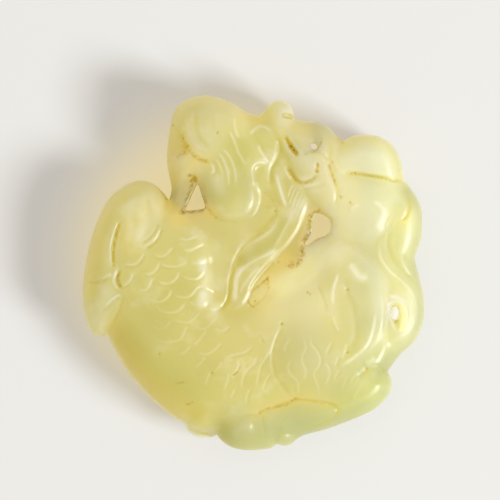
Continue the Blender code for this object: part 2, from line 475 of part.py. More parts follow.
def side_of_body(body, loops, pitch, side, up):
    """Add one side of the piece to the body and return its loop vertices."""
    places, faces = triangles_between(loops, points_inside(pitch, loops[0], loops[1:]))
    level = rolled(side, places, loops[0], loops[1:])
    if up:
        level = np.minimum(level, TOP_LEVEL)
    else:
        level = np.maximum(-level, REST_LEVEL)
    made = [body.verts.new((x * UNIT, y * UNIT, z * UNIT)) for (x, y), z in zip(places, level)]
    for a, b, c in faces:
        body.faces.new((made[a], made[b], made[c]) if up else (made[c], made[b], made[a]))
    return made


def make_body():
    """The closed body: front, back, rim band and the walls of the openings."""
    loops = [rim_loop(LOOP_STEP)] + opening_loops(LOOP_STEP)
    body = bmesh.new()
    front = side_of_body(body, loops, FRONT_PITCH / UNIT, carve_front(), True)
    back = side_of_body(body, loops, BACK_PITCH / UNIT, carve_back(), False)
    first = 0
    for loop in loops:
        count = len(loop)
        for i in range(count):
            j = (i + 1) % count
            body.faces.new((front[first + j], front[first + i], back[first + i], back[first + j]))
        first += count
    bmesh.ops.triangulate(body, faces=[f for f in body.faces if len(f.verts) > 3])
    bmesh.ops.recalc_face_normals(body, faces=body.faces)
    return body


def thin_out(item):
    """Keep only the triangles the carving needs, and true the flats up again."""
    thinner = item.modifiers.new("thin", "DECIMATE")
    thinner.ratio = TRIANGLES / len(item.data.polygons)
    bpy.context.view_layer.objects.active = item
    bpy.ops.object.modifier_apply(modifier=thinner.name)
    for vertex in item.data.vertices:
        if vertex.co.z < REST_LEVEL * UNIT + 0.00006:
            vertex.co.z = REST_LEVEL * UNIT


def centre_on_rest(item):
    """Stand the piece on the ground plane with the middle of its box over the origin."""
    places = np.array([v.co for v in item.data.vertices])
    low, high = places.min(axis=0), places.max(axis=0)
    middle = (low + high) / 2
    for vertex in item.data.vertices:
        vertex.co.x -= middle[0]
        vertex.co.y -= middle[1]
        vertex.co.z -= low[2]


def jade():
    """Pale yellow-green jade with a waxy polish."""
    finish = bpy.data.materials.new("pale_jade")
    finish.use_nodes = True
    shader = finish.node_tree.nodes["Principled BSDF"]
    shader.inputs["Base Color"].default_value = (0.66, 0.61, 0.24, 1.0)
    shader.inputs["Roughness"].default_value = 0.25
    shader.inputs["Metallic"].default_value = 0.0
    return finish


def main():
    """Make the pendant."""
    clear_scene()
    body = make_body()
    mesh = bpy.data.meshes.new("carved_pendant")
    body.to_mesh(mesh)
    body.free()
    pendant = bpy.data.objects.new("carved_pendant", mesh)
    bpy.context.collection.objects.link(pendant)
    thin_out(pendant)
    centre_on_rest(pendant)
    for polygon in pendant.data.polygons:
        polygon.use_smooth = True
    pendant.data.materials.append(jade())


main()
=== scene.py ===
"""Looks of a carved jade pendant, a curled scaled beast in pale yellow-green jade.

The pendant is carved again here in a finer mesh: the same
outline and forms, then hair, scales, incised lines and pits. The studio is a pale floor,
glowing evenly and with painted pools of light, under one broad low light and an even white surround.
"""
import logging
import math
from dataclasses import dataclass, replace
from enum import Enum

import bmesh
import bpy
import numpy as np
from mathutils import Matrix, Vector
from mathutils.geometry import delaunay_2d_cdt


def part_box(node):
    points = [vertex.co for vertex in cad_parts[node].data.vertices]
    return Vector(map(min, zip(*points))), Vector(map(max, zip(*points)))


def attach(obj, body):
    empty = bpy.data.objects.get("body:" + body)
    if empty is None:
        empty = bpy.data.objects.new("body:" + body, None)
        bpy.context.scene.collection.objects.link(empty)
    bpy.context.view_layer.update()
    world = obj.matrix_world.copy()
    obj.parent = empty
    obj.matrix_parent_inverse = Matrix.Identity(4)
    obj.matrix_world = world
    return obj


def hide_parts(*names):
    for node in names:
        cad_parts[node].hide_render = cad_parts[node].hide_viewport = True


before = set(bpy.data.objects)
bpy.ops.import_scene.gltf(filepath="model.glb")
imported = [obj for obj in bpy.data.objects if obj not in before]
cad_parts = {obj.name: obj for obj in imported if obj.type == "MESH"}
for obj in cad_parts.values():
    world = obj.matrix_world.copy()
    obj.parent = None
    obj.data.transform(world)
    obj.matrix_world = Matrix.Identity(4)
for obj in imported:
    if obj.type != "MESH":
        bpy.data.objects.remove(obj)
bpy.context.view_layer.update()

LOG = logging.getLogger("jade_pendant")
NODE = "carved_pendant"
CURVE_STEPS = 12
FAR = 1e9
TINY = 1e-12
JOIN_WITHIN = 1e-7
Place = tuple[float, float]
Path = list[Place]
Shade = tuple[float, float, float]
Tree = bpy.types.NodeTree
Socket = bpy.types.NodeSocket


class Side(Enum):
    """The two carved sides of the pendant."""

    FRONT = 1
    BACK = -1


class Tint(Enum):
    """Colour zones of the stone, each kept as a vertex attribute."""

    STAIN = "stain"
    GOLD = "gold"
    OLIVE_AND_SHADE = "olive_and_shade"
    MILK_AND_HIGHLIGHT = "milk_and_highlight"
    GREEN = "green"
    BLUSH = "blush"
    DENSE_AND_SHADE = "dense_and_shade"
    LIGHT = "light"


def curve_through(points: Path, step: float, closed: bool) -> np.ndarray:
    """Run a smooth curve through a few points.

    Args:
        points: the places the curve passes through, in drawing units.
        step: spacing of the points returned.
        closed: whether the curve returns to its start.

    Returns:
        Points along the curve at an even step.
    """
    given = [np.array(p, float) for p in points]
    count = len(given)
    fine = []
    for i in range(count if closed else count - 1):
        here = given[i]
        there = given[(i + 1) % count]
        before = given[i - 1] if closed or i > 0 else 2 * here - there
        after = given[(i + 2) % count] if closed or i + 2 < count else 2 * there - here
        for t in np.linspace(0.0, 1.0, CURVE_STEPS, endpoint=False):
            fine.append(0.5 * (2 * here + (there - before) * t
                               + (2 * before - 5 * here + 4 * there - after) * t * t
                               + (3 * here - 3 * there + after - before) * t ** 3))
    fine.append(given[0] if closed else given[-1])
    fine = np.array(fine)
    along = np.concatenate([[0.0], np.cumsum(np.hypot(*np.diff(fine, axis=0).T))])
    pieces = max(3, int(round(along[-1] / step)))
    at = np.linspace(0.0, along[-1], pieces + 1)
    even = np.column_stack([np.interp(at, along, fine[:, k]) for k in (0, 1)])
    return even[:-1] if closed else even


@dataclass(frozen=True)
class Reading:
    """What a path measures at a set of places."""

    away: np.ndarray
    share: np.ndarray
    inside: np.ndarray
    left: np.ndarray


def measure(path: np.ndarray, x: np.ndarray, y: np.ndarray, closed: bool) -> Reading:
    """Measure places against a path.

    Args:
        path: points of the path.
        x: places along X.
        y: places along Y.
        closed: whether the path is a loop.

    Returns:
        Distance, share of the way along, whether inside a loop and whether to the left.
    """
    ends = np.roll(path, -1, axis=0) if closed else path[1:]
    starts = path if closed else path[:-1]
    best = np.full(x.shape, FAR)
    share = np.zeros(x.shape)
    inside = np.zeros(x.shape, bool)
    left = np.zeros(x.shape, bool)
    for i, (a, b) in enumerate(zip(starts, ends)):
        run = b - a
        dx = x - a[0]
        dy = y - a[1]
        t = np.clip((dx * run[0] + dy * run[1]) / max(run @ run, TINY), 0.0, 1.0)
        gap = (dx - t * run[0]) ** 2 + (dy - t * run[1]) ** 2
        nearer = gap < best
        best[nearer] = gap[nearer]
        share[nearer] = (i + t[nearer]) / len(starts)
        left[nearer] = (run[0] * dy - run[1] * dx)[nearer] > 0
        if closed and a[1] != b[1]:
            crossed = (a[1] > y) != (b[1] > y)
            inside ^= crossed & (x < a[0] + dy * run[0] / (b[1] - a[1]))
    return Reading(np.sqrt(best), share, inside, left)


def quarter_round(share: np.ndarray) -> np.ndarray:
    """Height of a rolled edge, nought at its foot and one where it ends."""
    return np.sqrt(1.0 - (1.0 - np.clip(share, 0.0, 1.0)) ** 2)


def ease(share: np.ndarray) -> np.ndarray:
    """Smooth step from nought to one."""
    share = np.clip(share, 0.0, 1.0)
    return share * share * (3.0 - 2.0 * share)


def bell(share: np.ndarray) -> np.ndarray:
    """Soft hump, one in its middle and next to nought at twice its half width."""
    return np.exp(-share ** 2)


def faded_ends(share: np.ndarray, rate: float, start: float) -> np.ndarray:
    """Strength of a worked line along its length, dying away at both ends."""
    return ease(np.minimum(share, 1.0 - share) * rate + start)


class Relief:
    """Height map of one side, which the carving is laid on."""

    REACH = 31.5
    COARSE = 6

    def __init__(self, level: float, pitch: float) -> None:
        """Start from a flat side.

        Args:
            level: height of the side.
            pitch: spacing of the map's points.
        """
        self.pitch = pitch
        self.line = np.arange(-self.REACH, self.REACH + pitch, pitch)
        self.x, self.y = np.meshgrid(self.line, self.line, indexing="ij")
        self.z = np.full(self.x.shape, level)
        self.shade = {tint: np.zeros(self.x.shape) for tint in Tint}

    def window(self, path: np.ndarray, margin: float) -> tuple[slice, slice]:
        """Part of the map that a path can reach.

        Args:
            path: points of the path.
            margin: how far the path reaches to its sides.

        Returns:
            The part, as slices along X and Y.
        """
        low = np.searchsorted(self.line, path.min(axis=0) - margin)
        high = np.searchsorted(self.line, path.max(axis=0) + margin)
        return slice(low[0], high[0] + 1), slice(low[1], high[1] + 1)

    def tint(self, which: Tint, part: tuple[slice, slice], amount: np.ndarray) -> None:
        """Add to a colour zone along a worked line."""
        chart = self.shade[which][part]
        self.shade[which][part] = np.maximum(chart, np.clip(amount, 0.0, 1.0))

    @staticmethod
    def blurred(z: np.ndarray, times: int) -> np.ndarray:
        """Average a map with its neighbours.

        Args:
            z: the map.
            times: how often it is averaged.

        Returns:
            The softened map.
        """
        for _ in range(times):
            p = np.pad(z, 1, mode="edge")
            z = (4 * z + 2 * (p[:-2, 1:-1] + p[2:, 1:-1] + p[1:-1, :-2] + p[1:-1, 2:])
                 + p[:-2, :-2] + p[:-2, 2:] + p[2:, :-2] + p[2:, 2:]) / 16.0
        return z

    def soften(self, times: int) -> None:
        """Rub the whole side down a little."""
        self.z = self.blurred(self.z, times)

    def flatten(self, share: float, reach: float) -> None:
        """Bring the forms nearer to the lie of the side around them.

        Args:
            share: how much of each form's height goes.
            reach: how far the lie is averaged.
        """
        step = self.COARSE
        broad = self.blurred(self.z[::step, ::step], int(2 * (reach / (step * self.pitch)) ** 2))
        at = np.arange(len(self.line)) / step
        cell = np.clip(at.astype(int), 0, len(broad) - 2)
        part = at - cell
        rows = broad[cell] * (1 - part)[:, None] + broad[cell + 1] * part[:, None]
        lie = rows[:, cell] * (1 - part) + rows[:, cell + 1] * part
        self.z += share * (lie - self.z)

    def read(self, chart: np.ndarray, x: np.ndarray, y: np.ndarray) -> np.ndarray:
        """Read a chart of the map's size between its points.

        Args:
            chart: values at the map's points.
            x: places along X.
            y: places along Y.

        Returns:
            The chart's value at each place.
        """
        u = (x - self.line[0]) / self.pitch
        v = (y - self.line[0]) / self.pitch
        i = np.clip(u.astype(int), 0, len(self.line) - 2)
        j = np.clip(v.astype(int), 0, len(self.line) - 2)
        u = u - i
        v = v - j
        return ((1 - u) * (1 - v) * chart[i, j] + u * (1 - v) * chart[i + 1, j]
                + (1 - u) * v * chart[i, j + 1] + u * v * chart[i + 1, j + 1])


@dataclass(frozen=True)
class Form:
    """A rounded form laid over what is there, seen from above as a closed outline."""

    STEP = 1.0
    MARGIN = 1.0

    outline: Path
    top: float
    edge: float
    roll: float
    lean: Place = (0.0, 0.0)
    soft: float = 0.5

    def carve(self, relief: Relief) -> None:
        """Lay the form on a side.

        Args:
            relief: the side.
        """
        loop = curve_through(self.outline, self.STEP, True)
        part = relief.window(loop, self.MARGIN)
        x, y = relief.x[part], relief.y[part]
        found = measure(loop, x, y, True)
        centre = loop.mean(axis=0)
        level = self.edge + (self.top - self.edge) * quarter_round(found.away / self.roll)
        level = level + self.lean[0] * (x - centre[0]) + self.lean[1] * (y - centre[1])
        weight = np.where(found.inside, ease(found.away / self.soft), 0.0)
        relief.z[part] = relief.z[part] * (1 - weight) + level * weight


@dataclass(frozen=True)
class Band:
    """A rounded band along a path, its half widths given from start to end."""

    STEP = 0.6
    MARGIN = 0.5
    END_SHARE = 0.12
    END_DROP = 1.2
    NOWHERE = -9.0

    path: Path
    widths: tuple[float, ...]
    top: float
    drop: float

    def carve(self, relief: Relief) -> None:
        """Raise the band on a side.

        Args:
            relief: the side.
        """
        path = curve_through(self.path, self.STEP, False)
        part = relief.window(path, max(self.widths) + self.MARGIN)
        found = measure(path, relief.x[part], relief.y[part], False)
        width = np.interp(found.share, np.linspace(0, 1, len(self.widths)), self.widths)
        level = self.top - self.drop * (1.0 - quarter_round(1.0 - found.away / width))
        bury = np.interp(found.share, (0.0, self.END_SHARE, 1.0 - self.END_SHARE, 1.0),
                         (self.END_DROP, 0.0, 0.0, self.END_DROP))
        level = np.where(found.away < width, level - bury, self.NOWHERE)
        relief.z[part] = np.maximum(relief.z[part], level)


@dataclass(frozen=True)
class Pocket:
    """A pocket cut down to a floor, with sloping walls."""

    STEP = 0.4
    MARGIN = 0.5
    SHARE_AT_OUTLINE = 0.3

    outline: Path
    floor: float
    wall: float

    def carve(self, relief: Relief) -> None:
        """Cut the pocket into a side.

        Args:
            relief: the side.
        """
        loop = curve_through(self.outline, self.STEP, True)
        part = relief.window(loop, self.MARGIN)
        found = measure(loop, relief.x[part], relief.y[part], True)
        start = self.SHARE_AT_OUTLINE
        slope = found.away / self.wall * (1.0 - start)
        weight = np.where(found.inside, ease(start + slope), ease(start - slope))
        floor = np.minimum(relief.z[part], self.floor)
        relief.z[part] = relief.z[part] * (1 - weight) + floor * weight


@dataclass(frozen=True)
class Cut:
    """A line cut down, fading at both ends, with the brown that has gathered in it and painted shade along
    its depth.
    """

    STEP = 0.4
    WIDTHS = 3
    FADE = (6.0, 0.15)

    depth: float
    half_width: float
    path: Path
    brown: float = 0.0

    def carve(self, relief: Relief) -> None:
        """Work the line into a side.

        Args:
            relief: the side.
        """
        path = curve_through(self.path, self.STEP, False)
        part = relief.window(path, self.half_width * self.WIDTHS)
        found = measure(path, relief.x[part], relief.y[part], False)
        fade = faded_ends(found.share, *self.FADE)
        profile = bell(found.away / self.half_width)
        relief.z[part] -= self.depth * fade * profile
        relief.tint(Tint.STAIN, part, self.brown * fade * profile)
        # Painted shade: the cut is darkened in proportion to its depth
        relief.tint(Tint.OLIVE_AND_SHADE, part, min(1.0, self.depth) * fade * profile)


@dataclass(frozen=True)
class Ridge:
    """A thin raised line, paler along its top (partly pale wear, partly a painted highlight), fading at both
    ends.
    """

    STEP = 0.4
    WIDTHS = 3
    FADE = (5.0, 0.0)

    height: float
    half_width: float
    path: Path
    pale: float = 0.7

    def carve(self, relief: Relief) -> None:
        """Raise the line on a side.

        Args:
            relief: the side.
        """
        path = curve_through(self.path, self.STEP, False)
        part = relief.window(path, self.half_width * self.WIDTHS)
        found = measure(path, relief.x[part], relief.y[part], False)
        fade = faded_ends(found.share, *self.FADE)
        profile = bell(found.away / self.half_width)
        relief.z[part] += self.height * fade * profile
        # Paler top: partly pale wear, partly painted highlight
        relief.tint(Tint.MILK_AND_HIGHLIGHT, part, self.pale * fade * profile)


@dataclass(frozen=True)
class Fold:
    """An edge that stands up on the left of its path and dies away from it, with a pale line on the edge
    (partly wear, partly painted highlight) and painted shade in the groove below it.
    """

    STEP = 0.3
    MARGIN = 0.3
    FADE = (5.0, 0.1)
    EDGE_WIDTH = 0.3
    GROOVE_AT = -0.3
    GROOVE_WIDTH = 0.28
    GROOVE_DEPTH = 0.35
    GROOVE_SHADE = 0.7
    PALE_AT = 0.1
    PALE_WIDTH = 0.16

    lift: float
    reach: float
    path: Path
    pale: float = 0.6

    def carve(self, relief: Relief) -> None:
        """Raise the fold on a side.

        Args:
            relief: the side.
        """
        path = curve_through(self.path, self.STEP, False)
        part = relief.window(path, self.reach + self.MARGIN)
        found = measure(path, relief.x[part], relief.y[part], False)
        fade = faded_ends(found.share, *self.FADE)
        signed = np.where(found.left, found.away, -found.away)
        rise = ease(signed / self.EDGE_WIDTH + 0.5) * (1.0 - ease(signed / self.reach))
        groove = bell((signed - self.GROOVE_AT) / self.GROOVE_WIDTH)
        relief.z[part] += fade * self.lift * (rise - self.GROOVE_DEPTH * groove)
        # Pale line on the edge, partly wear and partly painted highlight; painted shade in the groove below
        # it
        relief.tint(Tint.MILK_AND_HIGHLIGHT, part, self.pale * fade * bell((signed - self.PALE_AT) / self.PALE_WIDTH))
        relief.tint(Tint.OLIVE_AND_SHADE, part, self.GROOVE_SHADE * self.pale * fade * groove)


@dataclass(frozen=True)
class Scales:
    """Scales of one region, each the arc of its free edge with the scale on the arc's left."""

    arcs: tuple[Path, ...]
    lift: float
    reach: float
    pale: float = 0.6

    def carve(self, relief: Relief) -> None:
        """Raise every scale on a side."""
        for arc in self.arcs:
            Fold(self.lift, self.reach, arc, self.pale).carve(relief)


@dataclass(frozen=True)
class Hair:
    """Even strands between two guide lines."""

    STEP = 0.5
    POINTS = 9

    first: Path
    last: Path
    strands: int
    depth: float
    half_width: float

    def carve(self, relief: Relief) -> None:
        """Cut a line between each two strands.

        Args:
            relief: the side.
        """
        first = curve_through(self.first, self.STEP, False)
        last = curve_through(self.last, self.STEP, False)
        at = np.linspace(0.0, 1.0, self.POINTS)
        ends = [np.column_stack([np.interp(at, np.linspace(0, 1, len(g)), g[:, k]) for k in (0, 1)])
                for g in (first, last)]
        for i in range(self.strands + 1):
            share = i / self.strands
            middle = ends[0] * (1 - share) + ends[1] * share
            Cut(self.depth, self.half_width, [tuple(p) for p in middle]).carve(relief)


@dataclass(frozen=True)
class Pits:
    """Small round pits left in the surface: place and radius of each."""

    REACH = 2.5

    places: tuple[tuple[float, float, float], ...]
    depth: float
    brown: float

    def carve(self, relief: Relief) -> None:
        """Sink the pits into a side.

        Args:
            relief: the side.
        """
        for x, y, radius in self.places:
            part = relief.window(np.array([[x, y]]), radius * self.REACH)
            hollow = bell(np.hypot(relief.x[part] - x, relief.y[part] - y) / radius)
            relief.z[part] -= self.depth * hollow
            relief.tint(Tint.STAIN, part, self.brown * hollow)


@dataclass(frozen=True)
class Outline:
    """Edge of the piece and its openings, in drawing units."""

    FEWEST_ROUND = 14

    # Clockwise from the notch between leaf and chin, one list for each lobe
    lobes: tuple[Path, ...] = (
        [(-14.2, 12.1), (-13.8, 14.2), (-14.4, 17.5), (-14.6, 19.8), (-14.2, 23.5), (-13.6, 26.6),
         (-12.3, 28.6), (-10.2, 29.6), (-8.0, 30.0), (-5.6, 29.5), (-3.0, 28.4), (-1.0, 27.1), (0.9, 26.5)],
        [(0.9, 26.5), (1.9, 27.3), (3.0, 28.6), (4.5, 29.1), (6.0, 28.6), (6.8, 27.3), (7.1, 26.0)],
        [(7.1, 26.0), (8.8, 25.6), (11.0, 25.4), (12.9, 24.6), (14.2, 23.1), (15.2, 22.2)],
        [(15.2, 22.2), (17.2, 23.1), (19.5, 23.3), (21.8, 22.8), (23.8, 21.4), (25.1, 18.8), (25.6, 15.6)],
        [(25.6, 15.6), (27.0, 13.9), (28.4, 11.3), (28.8, 8.5), (28.5, 5.5), (27.4, 2.3)],
        [(27.4, 2.3), (28.2, -0.8), (29.0, -4.6), (28.9, -8.5), (27.4, -11.8), (24.9, -14.1), (22.9, -16.9)],
        [(22.9, -16.9), (23.6, -18.8), (22.9, -21.0), (20.6, -23.3), (17.2, -24.9), (12.4, -26.7),
         (9.0, -27.6), (7.6, -28.3), (6.6, -29.2), (5.3, -29.5), (4.2, -29.2)],
        [(4.2, -29.2), (3.0, -29.9), (0.8, -30.2), (-1.7, -30.2), (-3.9, -29.6), (-5.4, -28.5),
         (-6.1, -27.6)],
        [(-6.1, -27.6), (-7.6, -28.2), (-9.4, -28.0), (-10.9, -27.1), (-11.5, -25.7)],
        [(-11.5, -25.7), (-14.2, -24.1), (-17.5, -21.2), (-20.8, -17.5), (-23.2, -13.6), (-24.7, -10.6)],
        [(-24.7, -10.6), (-26.1, -10.9), (-27.3, -10.3), (-28.4, -7.8), (-28.9, -4.0), (-28.6, 0.0),
         (-27.8, 4.2), (-26.5, 8.4), (-24.5, 12.3), (-21.9, 14.6), (-19.2, 15.5), (-16.8, 14.9),
         (-15.0, 13.2), (-14.2, 12.1)],
    )
    chin_opening: tuple[Place, ...] = (
        (-9.35, 14.9), (-8.6, 12.8), (-8.05, 11.0), (-9.0, 10.55), (-11.4, 10.45), (-11.0, 11.6),
        (-10.3, 13.3))
    centre_opening: tuple[Place, ...] = (
        (10.9, 10.0), (12.3, 9.6), (13.2, 8.7), (13.2, 7.1), (12.4, 6.2), (10.8, 5.6), (9.3, 4.5),
        (8.8, 4.9), (9.7, 6.0), (10.0, 7.9), (10.2, 9.3))
    cord_hole: Place = (10.4, 21.3)
    cord_hole_width: float = 1.306
    tail_hole: Place = (24.1, -7.0)
    tail_hole_width: float = 1.6
    tail_hole_length: float = 2.31

    def rim(self, step: float) -> np.ndarray:
        """The whole outline as one closed loop, sharp at the notches between lobes."""
        return np.concatenate([curve_through(lobe, step, False)[:-1] for lobe in self.lobes])

    def openings(self, step: float) -> list[np.ndarray]:
        """Loops of all the openings that pass through the piece.

        Args:
            step: spacing of the points.

        Returns:
            One closed loop for each opening.
        """
        return [
            curve_through(list(self.chin_opening), step, True),
            curve_through(list(self.centre_opening), step, True),
            self.drilled(self.cord_hole, self.cord_hole_width, self.cord_hole_width, step),
            self.drilled(self.tail_hole, self.tail_hole_width, self.tail_hole_length, step),
        ]

    def drilled(self, centre: Place, width: float, length: float, step: float) -> np.ndarray:
        """Closed loop of a drilled hole, round or longer than wide.

        Args:
            centre: middle of the hole.
            width: its size across.
            length: its size up and down.
            step: spacing of the points.

        Returns:
            The points of the loop.
        """
        count = max(self.FEWEST_ROUND, int(round(math.pi * (width + length) / 2 / step)))
        turn = np.linspace(0.0, 2 * math.pi, count, endpoint=False)
        return np.column_stack([centre[0] + width / 2 * np.cos(turn), centre[1] + length / 2 * np.sin(turn)])


# Front forms, from the lowest to the one on top
TAIL_SCROLL_FORM = Form([
    (23.8, 9.4), (22.2, 7.6), (21.2, 4.6), (21.6, 1.8), (23.2, -0.6), (22.9, -3.4), (22.4, -6.6),
    (22.6, -10.0), (23.4, -13.4), (27.0, -15.0), (31.0, -10.0), (32.0, -4.0), (30.0, 1.0),
    (27.2, 2.6), (24.6, 5.2), (23.9, 7.4)], top=6.0, edge=5.0, roll=2.6, lean=(-0.03, 0.0))
LEAF_OUTLINE = [
    (-15.1, 12.5), (-15.2, 9.5), (-16.3, 6.3), (-18.4, 4.0), (-21.0, 2.9), (-22.6, 1.1), (-23.3, -0.6),
    (-22.7, -2.4), (-21.9, -4.2), (-22.4, -6.6), (-24.2, -10.0), (-27.0, -13.0), (-32.0, -6.0),
    (-31.0, 6.0), (-26.0, 16.0), (-19.0, 18.5), (-15.4, 15.5)]
PAW_FORM = Form([
    (1.6, -24.2), (-0.6, -24.2), (-2.8, -24.5), (-4.7, -25.2), (-6.0, -26.4), (-6.6, -28.6),
    (-4.0, -32.0), (2.0, -32.0), (4.2, -30.0), (2.4, -28.2), (1.9, -26.2)], top=5.9, edge=5.1, roll=2.4)
BREAST = Form([
    (-15.0, 14.0), (-16.0, 9.4), (-11.0, 8.6), (-8.2, 6.6), (-7.0, 3.4), (-6.5, 0.0), (-6.6, -3.0),
    (-5.4, -6.2), (-3.0, -4.0), (-2.0, 2.0), (3.0, 6.0), (4.5, 11.0), (2.0, 14.0), (-6.0, 13.0),
    (-10.0, 11.0)], top=5.0, edge=4.8, roll=2.5, lean=(-0.03, 0.03))
BODY = Form([
    (-16.0, 9.0), (-11.0, 8.4), (-8.4, 6.4), (-7.3, 3.4), (-6.8, 0.0), (-6.9, -3.0), (-5.6, -6.6),
    (-1.0, -6.4), (3.4, -3.4), (6.6, -1.0), (11.0, -6.0), (14.0, -16.0), (16.0, -30.0), (-8.0, -33.0),
    (-24.0, -22.0), (-28.0, -10.0), (-24.0, 2.0), (-20.0, 6.5)],
    top=6.4, edge=5.1, roll=6.0, lean=(0.01, 0.02))
LEAF = Form(LEAF_OUTLINE, top=6.3, edge=5.4, roll=3.4, lean=(0.03, 0.0))
MANE = Form([
    (0.2, 28.5), (-0.6, 24.0), (0.6, 22.0), (1.6, 18.6), (-0.6, 17.0), (0.2, 13.6), (2.4, 13.4),
    (3.9, 11.8), (4.2, 9.6), (5.6, 7.8), (8.6, 9.0), (9.4, 12.0), (8.2, 14.6), (5.4, 18.0),
    (3.9, 22.6), (3.2, 27.0)], top=5.7, edge=5.1, roll=2.2)
HEAD = Form([
    (-1.2, 30.0), (-0.6, 24.6), (0.7, 21.8), (1.5, 20.2), (2.6, 18.6), (0.9, 17.9), (0.2, 16.8),
    (0.6, 14.4), (0.9, 12.2), (0.1, 10.0), (-1.9, 8.8), (-5.0, 8.7), (-6.9, 10.2), (-8.0, 12.4),
    (-8.9, 15.0), (-9.9, 17.0), (-11.6, 15.8), (-12.4, 12.6), (-14.2, 11.0), (-17.0, 15.0),
    (-17.0, 28.0), (-10.0, 33.0), (-3.0, 33.0)], top=7.0, edge=6.0, roll=3.8, lean=(0.02, -0.03))
CAP = Form([
    (14.6, 21.9), (13.8, 19.4), (14.6, 16.9), (17.5, 16.7), (20.0, 16.2), (23.0, 15.7), (25.6, 15.5),
    (28.0, 17.5), (25.5, 24.5), (19.0, 26.0), (15.0, 24.0)], top=6.5, edge=5.3, roll=3.2, lean=(0.0, -0.02))
SIDE_LOBE = Form([
    (22.0, 15.6), (28.0, 16.4), (32.0, 11.0), (31.0, 3.6), (27.2, 1.8), (24.8, 4.0), (22.4, 7.0),
    (21.0, 11.0)], top=6.1, edge=4.9, roll=3.0, lean=(-0.03, 0.0))
BULGE = Form([
    (13.8, 15.2), (16.0, 16.2), (20.0, 15.8), (25.4, 15.1), (26.2, 13.0), (24.4, 11.2), (22.9, 9.2),
    (22.0, 6.4), (19.0, 5.0), (15.4, 6.2), (13.5, 9.4), (13.0, 12.6)],
    top=6.9, edge=5.5, roll=3.6, lean=(0.0, 0.01))
HAUNCH = Form([
    (9.0, 0.4), (10.5, 3.5), (13.0, 5.2), (16.2, 4.9), (19.2, 3.0), (21.8, 0.6), (22.8, -3.0),
    (22.4, -7.0), (22.9, -12.0), (24.0, -16.4), (28.0, -19.0), (25.0, -26.0), (12.0, -31.0),
    (8.0, -27.0), (6.2, -22.0), (4.2, -18.2), (3.4, -15.0), (3.7, -11.6), (4.9, -8.0), (5.8, -4.6),
    (6.9, -1.6)], top=6.9, edge=5.8, roll=6.0, lean=(0.0, 0.01))
TOE = Form([
    (4.2, -29.8), (4.2, -28.3), (5.0, -27.4), (6.4, -27.3), (7.5, -28.2), (7.2, -30.2), (5.6, -31.0)],
    top=4.9, edge=4.2, roll=1.4)
FOOT = Form([
    (1.1, -23.8), (3.2, -22.7), (6.3, -21.8), (10.0, -21.6), (13.0, -22.0), (14.4, -22.9),
    (14.2, -24.0), (12.5, -25.2), (9.0, -26.5), (6.0, -27.4), (3.6, -29.6), (2.4, -28.3), (1.9, -26.1)],
    top=6.6, edge=5.9, roll=1.8, lean=(0.0, 0.03))
FRONT_FORMS = (BREAST, BODY, LEAF, MANE, HEAD, CAP, SIDE_LOBE, BULGE, TAIL_SCROLL_FORM, HAUNCH,
               PAW_FORM, TOE, FOOT)

# Rounded bands over the forms
LIMB = Band([(4.4, 27.2), (5.8, 24.8), (8.2, 21.4), (10.2, 18.2), (12.2, 14.9), (14.4, 12.2), (16.8, 9.8)],
            widths=(1.9, 2.8, 3.5, 3.2, 2.6), top=6.8, drop=1.1)
LIMB_LOBE = Band([(7.6, 23.6), (10.4, 22.6), (12.6, 21.0), (13.4, 18.6)],
                 widths=(1.8, 2.6, 2.2, 1.0), top=6.1, drop=0.8)
STRAP = Band([(7.8, 14.2), (7.1, 11.4), (5.9, 8.8), (4.1, 6.2), (1.8, 3.8), (-0.3, 1.2), (-1.6, -1.8),
              (-2.6, -4.6), (-4.6, -6.9)],
             widths=(0.9, 1.8, 2.1, 2.2, 2.2, 2.1, 1.7, 1.2, 0.5), top=6.1, drop=0.3)
STRAND = Band([(3.7, 18.4), (4.1, 15.4), (4.7, 13.0), (5.6, 10.6)], widths=(0.5, 1.0, 0.8, 0.4),
              top=6.3, drop=0.6)
SHIN = Band([(14.8, 0.8), (13.8, -2.4), (13.5, -5.6), (14.1, -8.8), (15.2, -11.0)],
            widths=(0.5, 0.9, 1.0, 0.7, 0.4), top=7.15, drop=0.4)
CREST = Band([(18.6, 1.0), (20.0, -3.0), (20.4, -6.6), (19.9, -9.8), (18.6, -12.4), (16.6, -14.6),
              (13.6, -16.2)],
             widths=(0.9, 1.7, 2.0, 1.9, 1.5, 0.6), top=7.2, drop=0.8)
SCROLL = Band([(22.2, 7.4), (21.7, 5.0), (22.0, 2.5), (23.3, 0.3), (25.1, -1.6), (26.6, -3.6),
               (27.2, -6.2), (26.6, -9.0), (25.0, -11.8)],
              widths=(0.5, 0.9, 1.2, 1.2, 1.0, 0.5), top=6.0, drop=0.9)
FRONT_BANDS = (LIMB_LOBE, LIMB, STRAND, STRAP, SHIN, CREST, SCROLL)

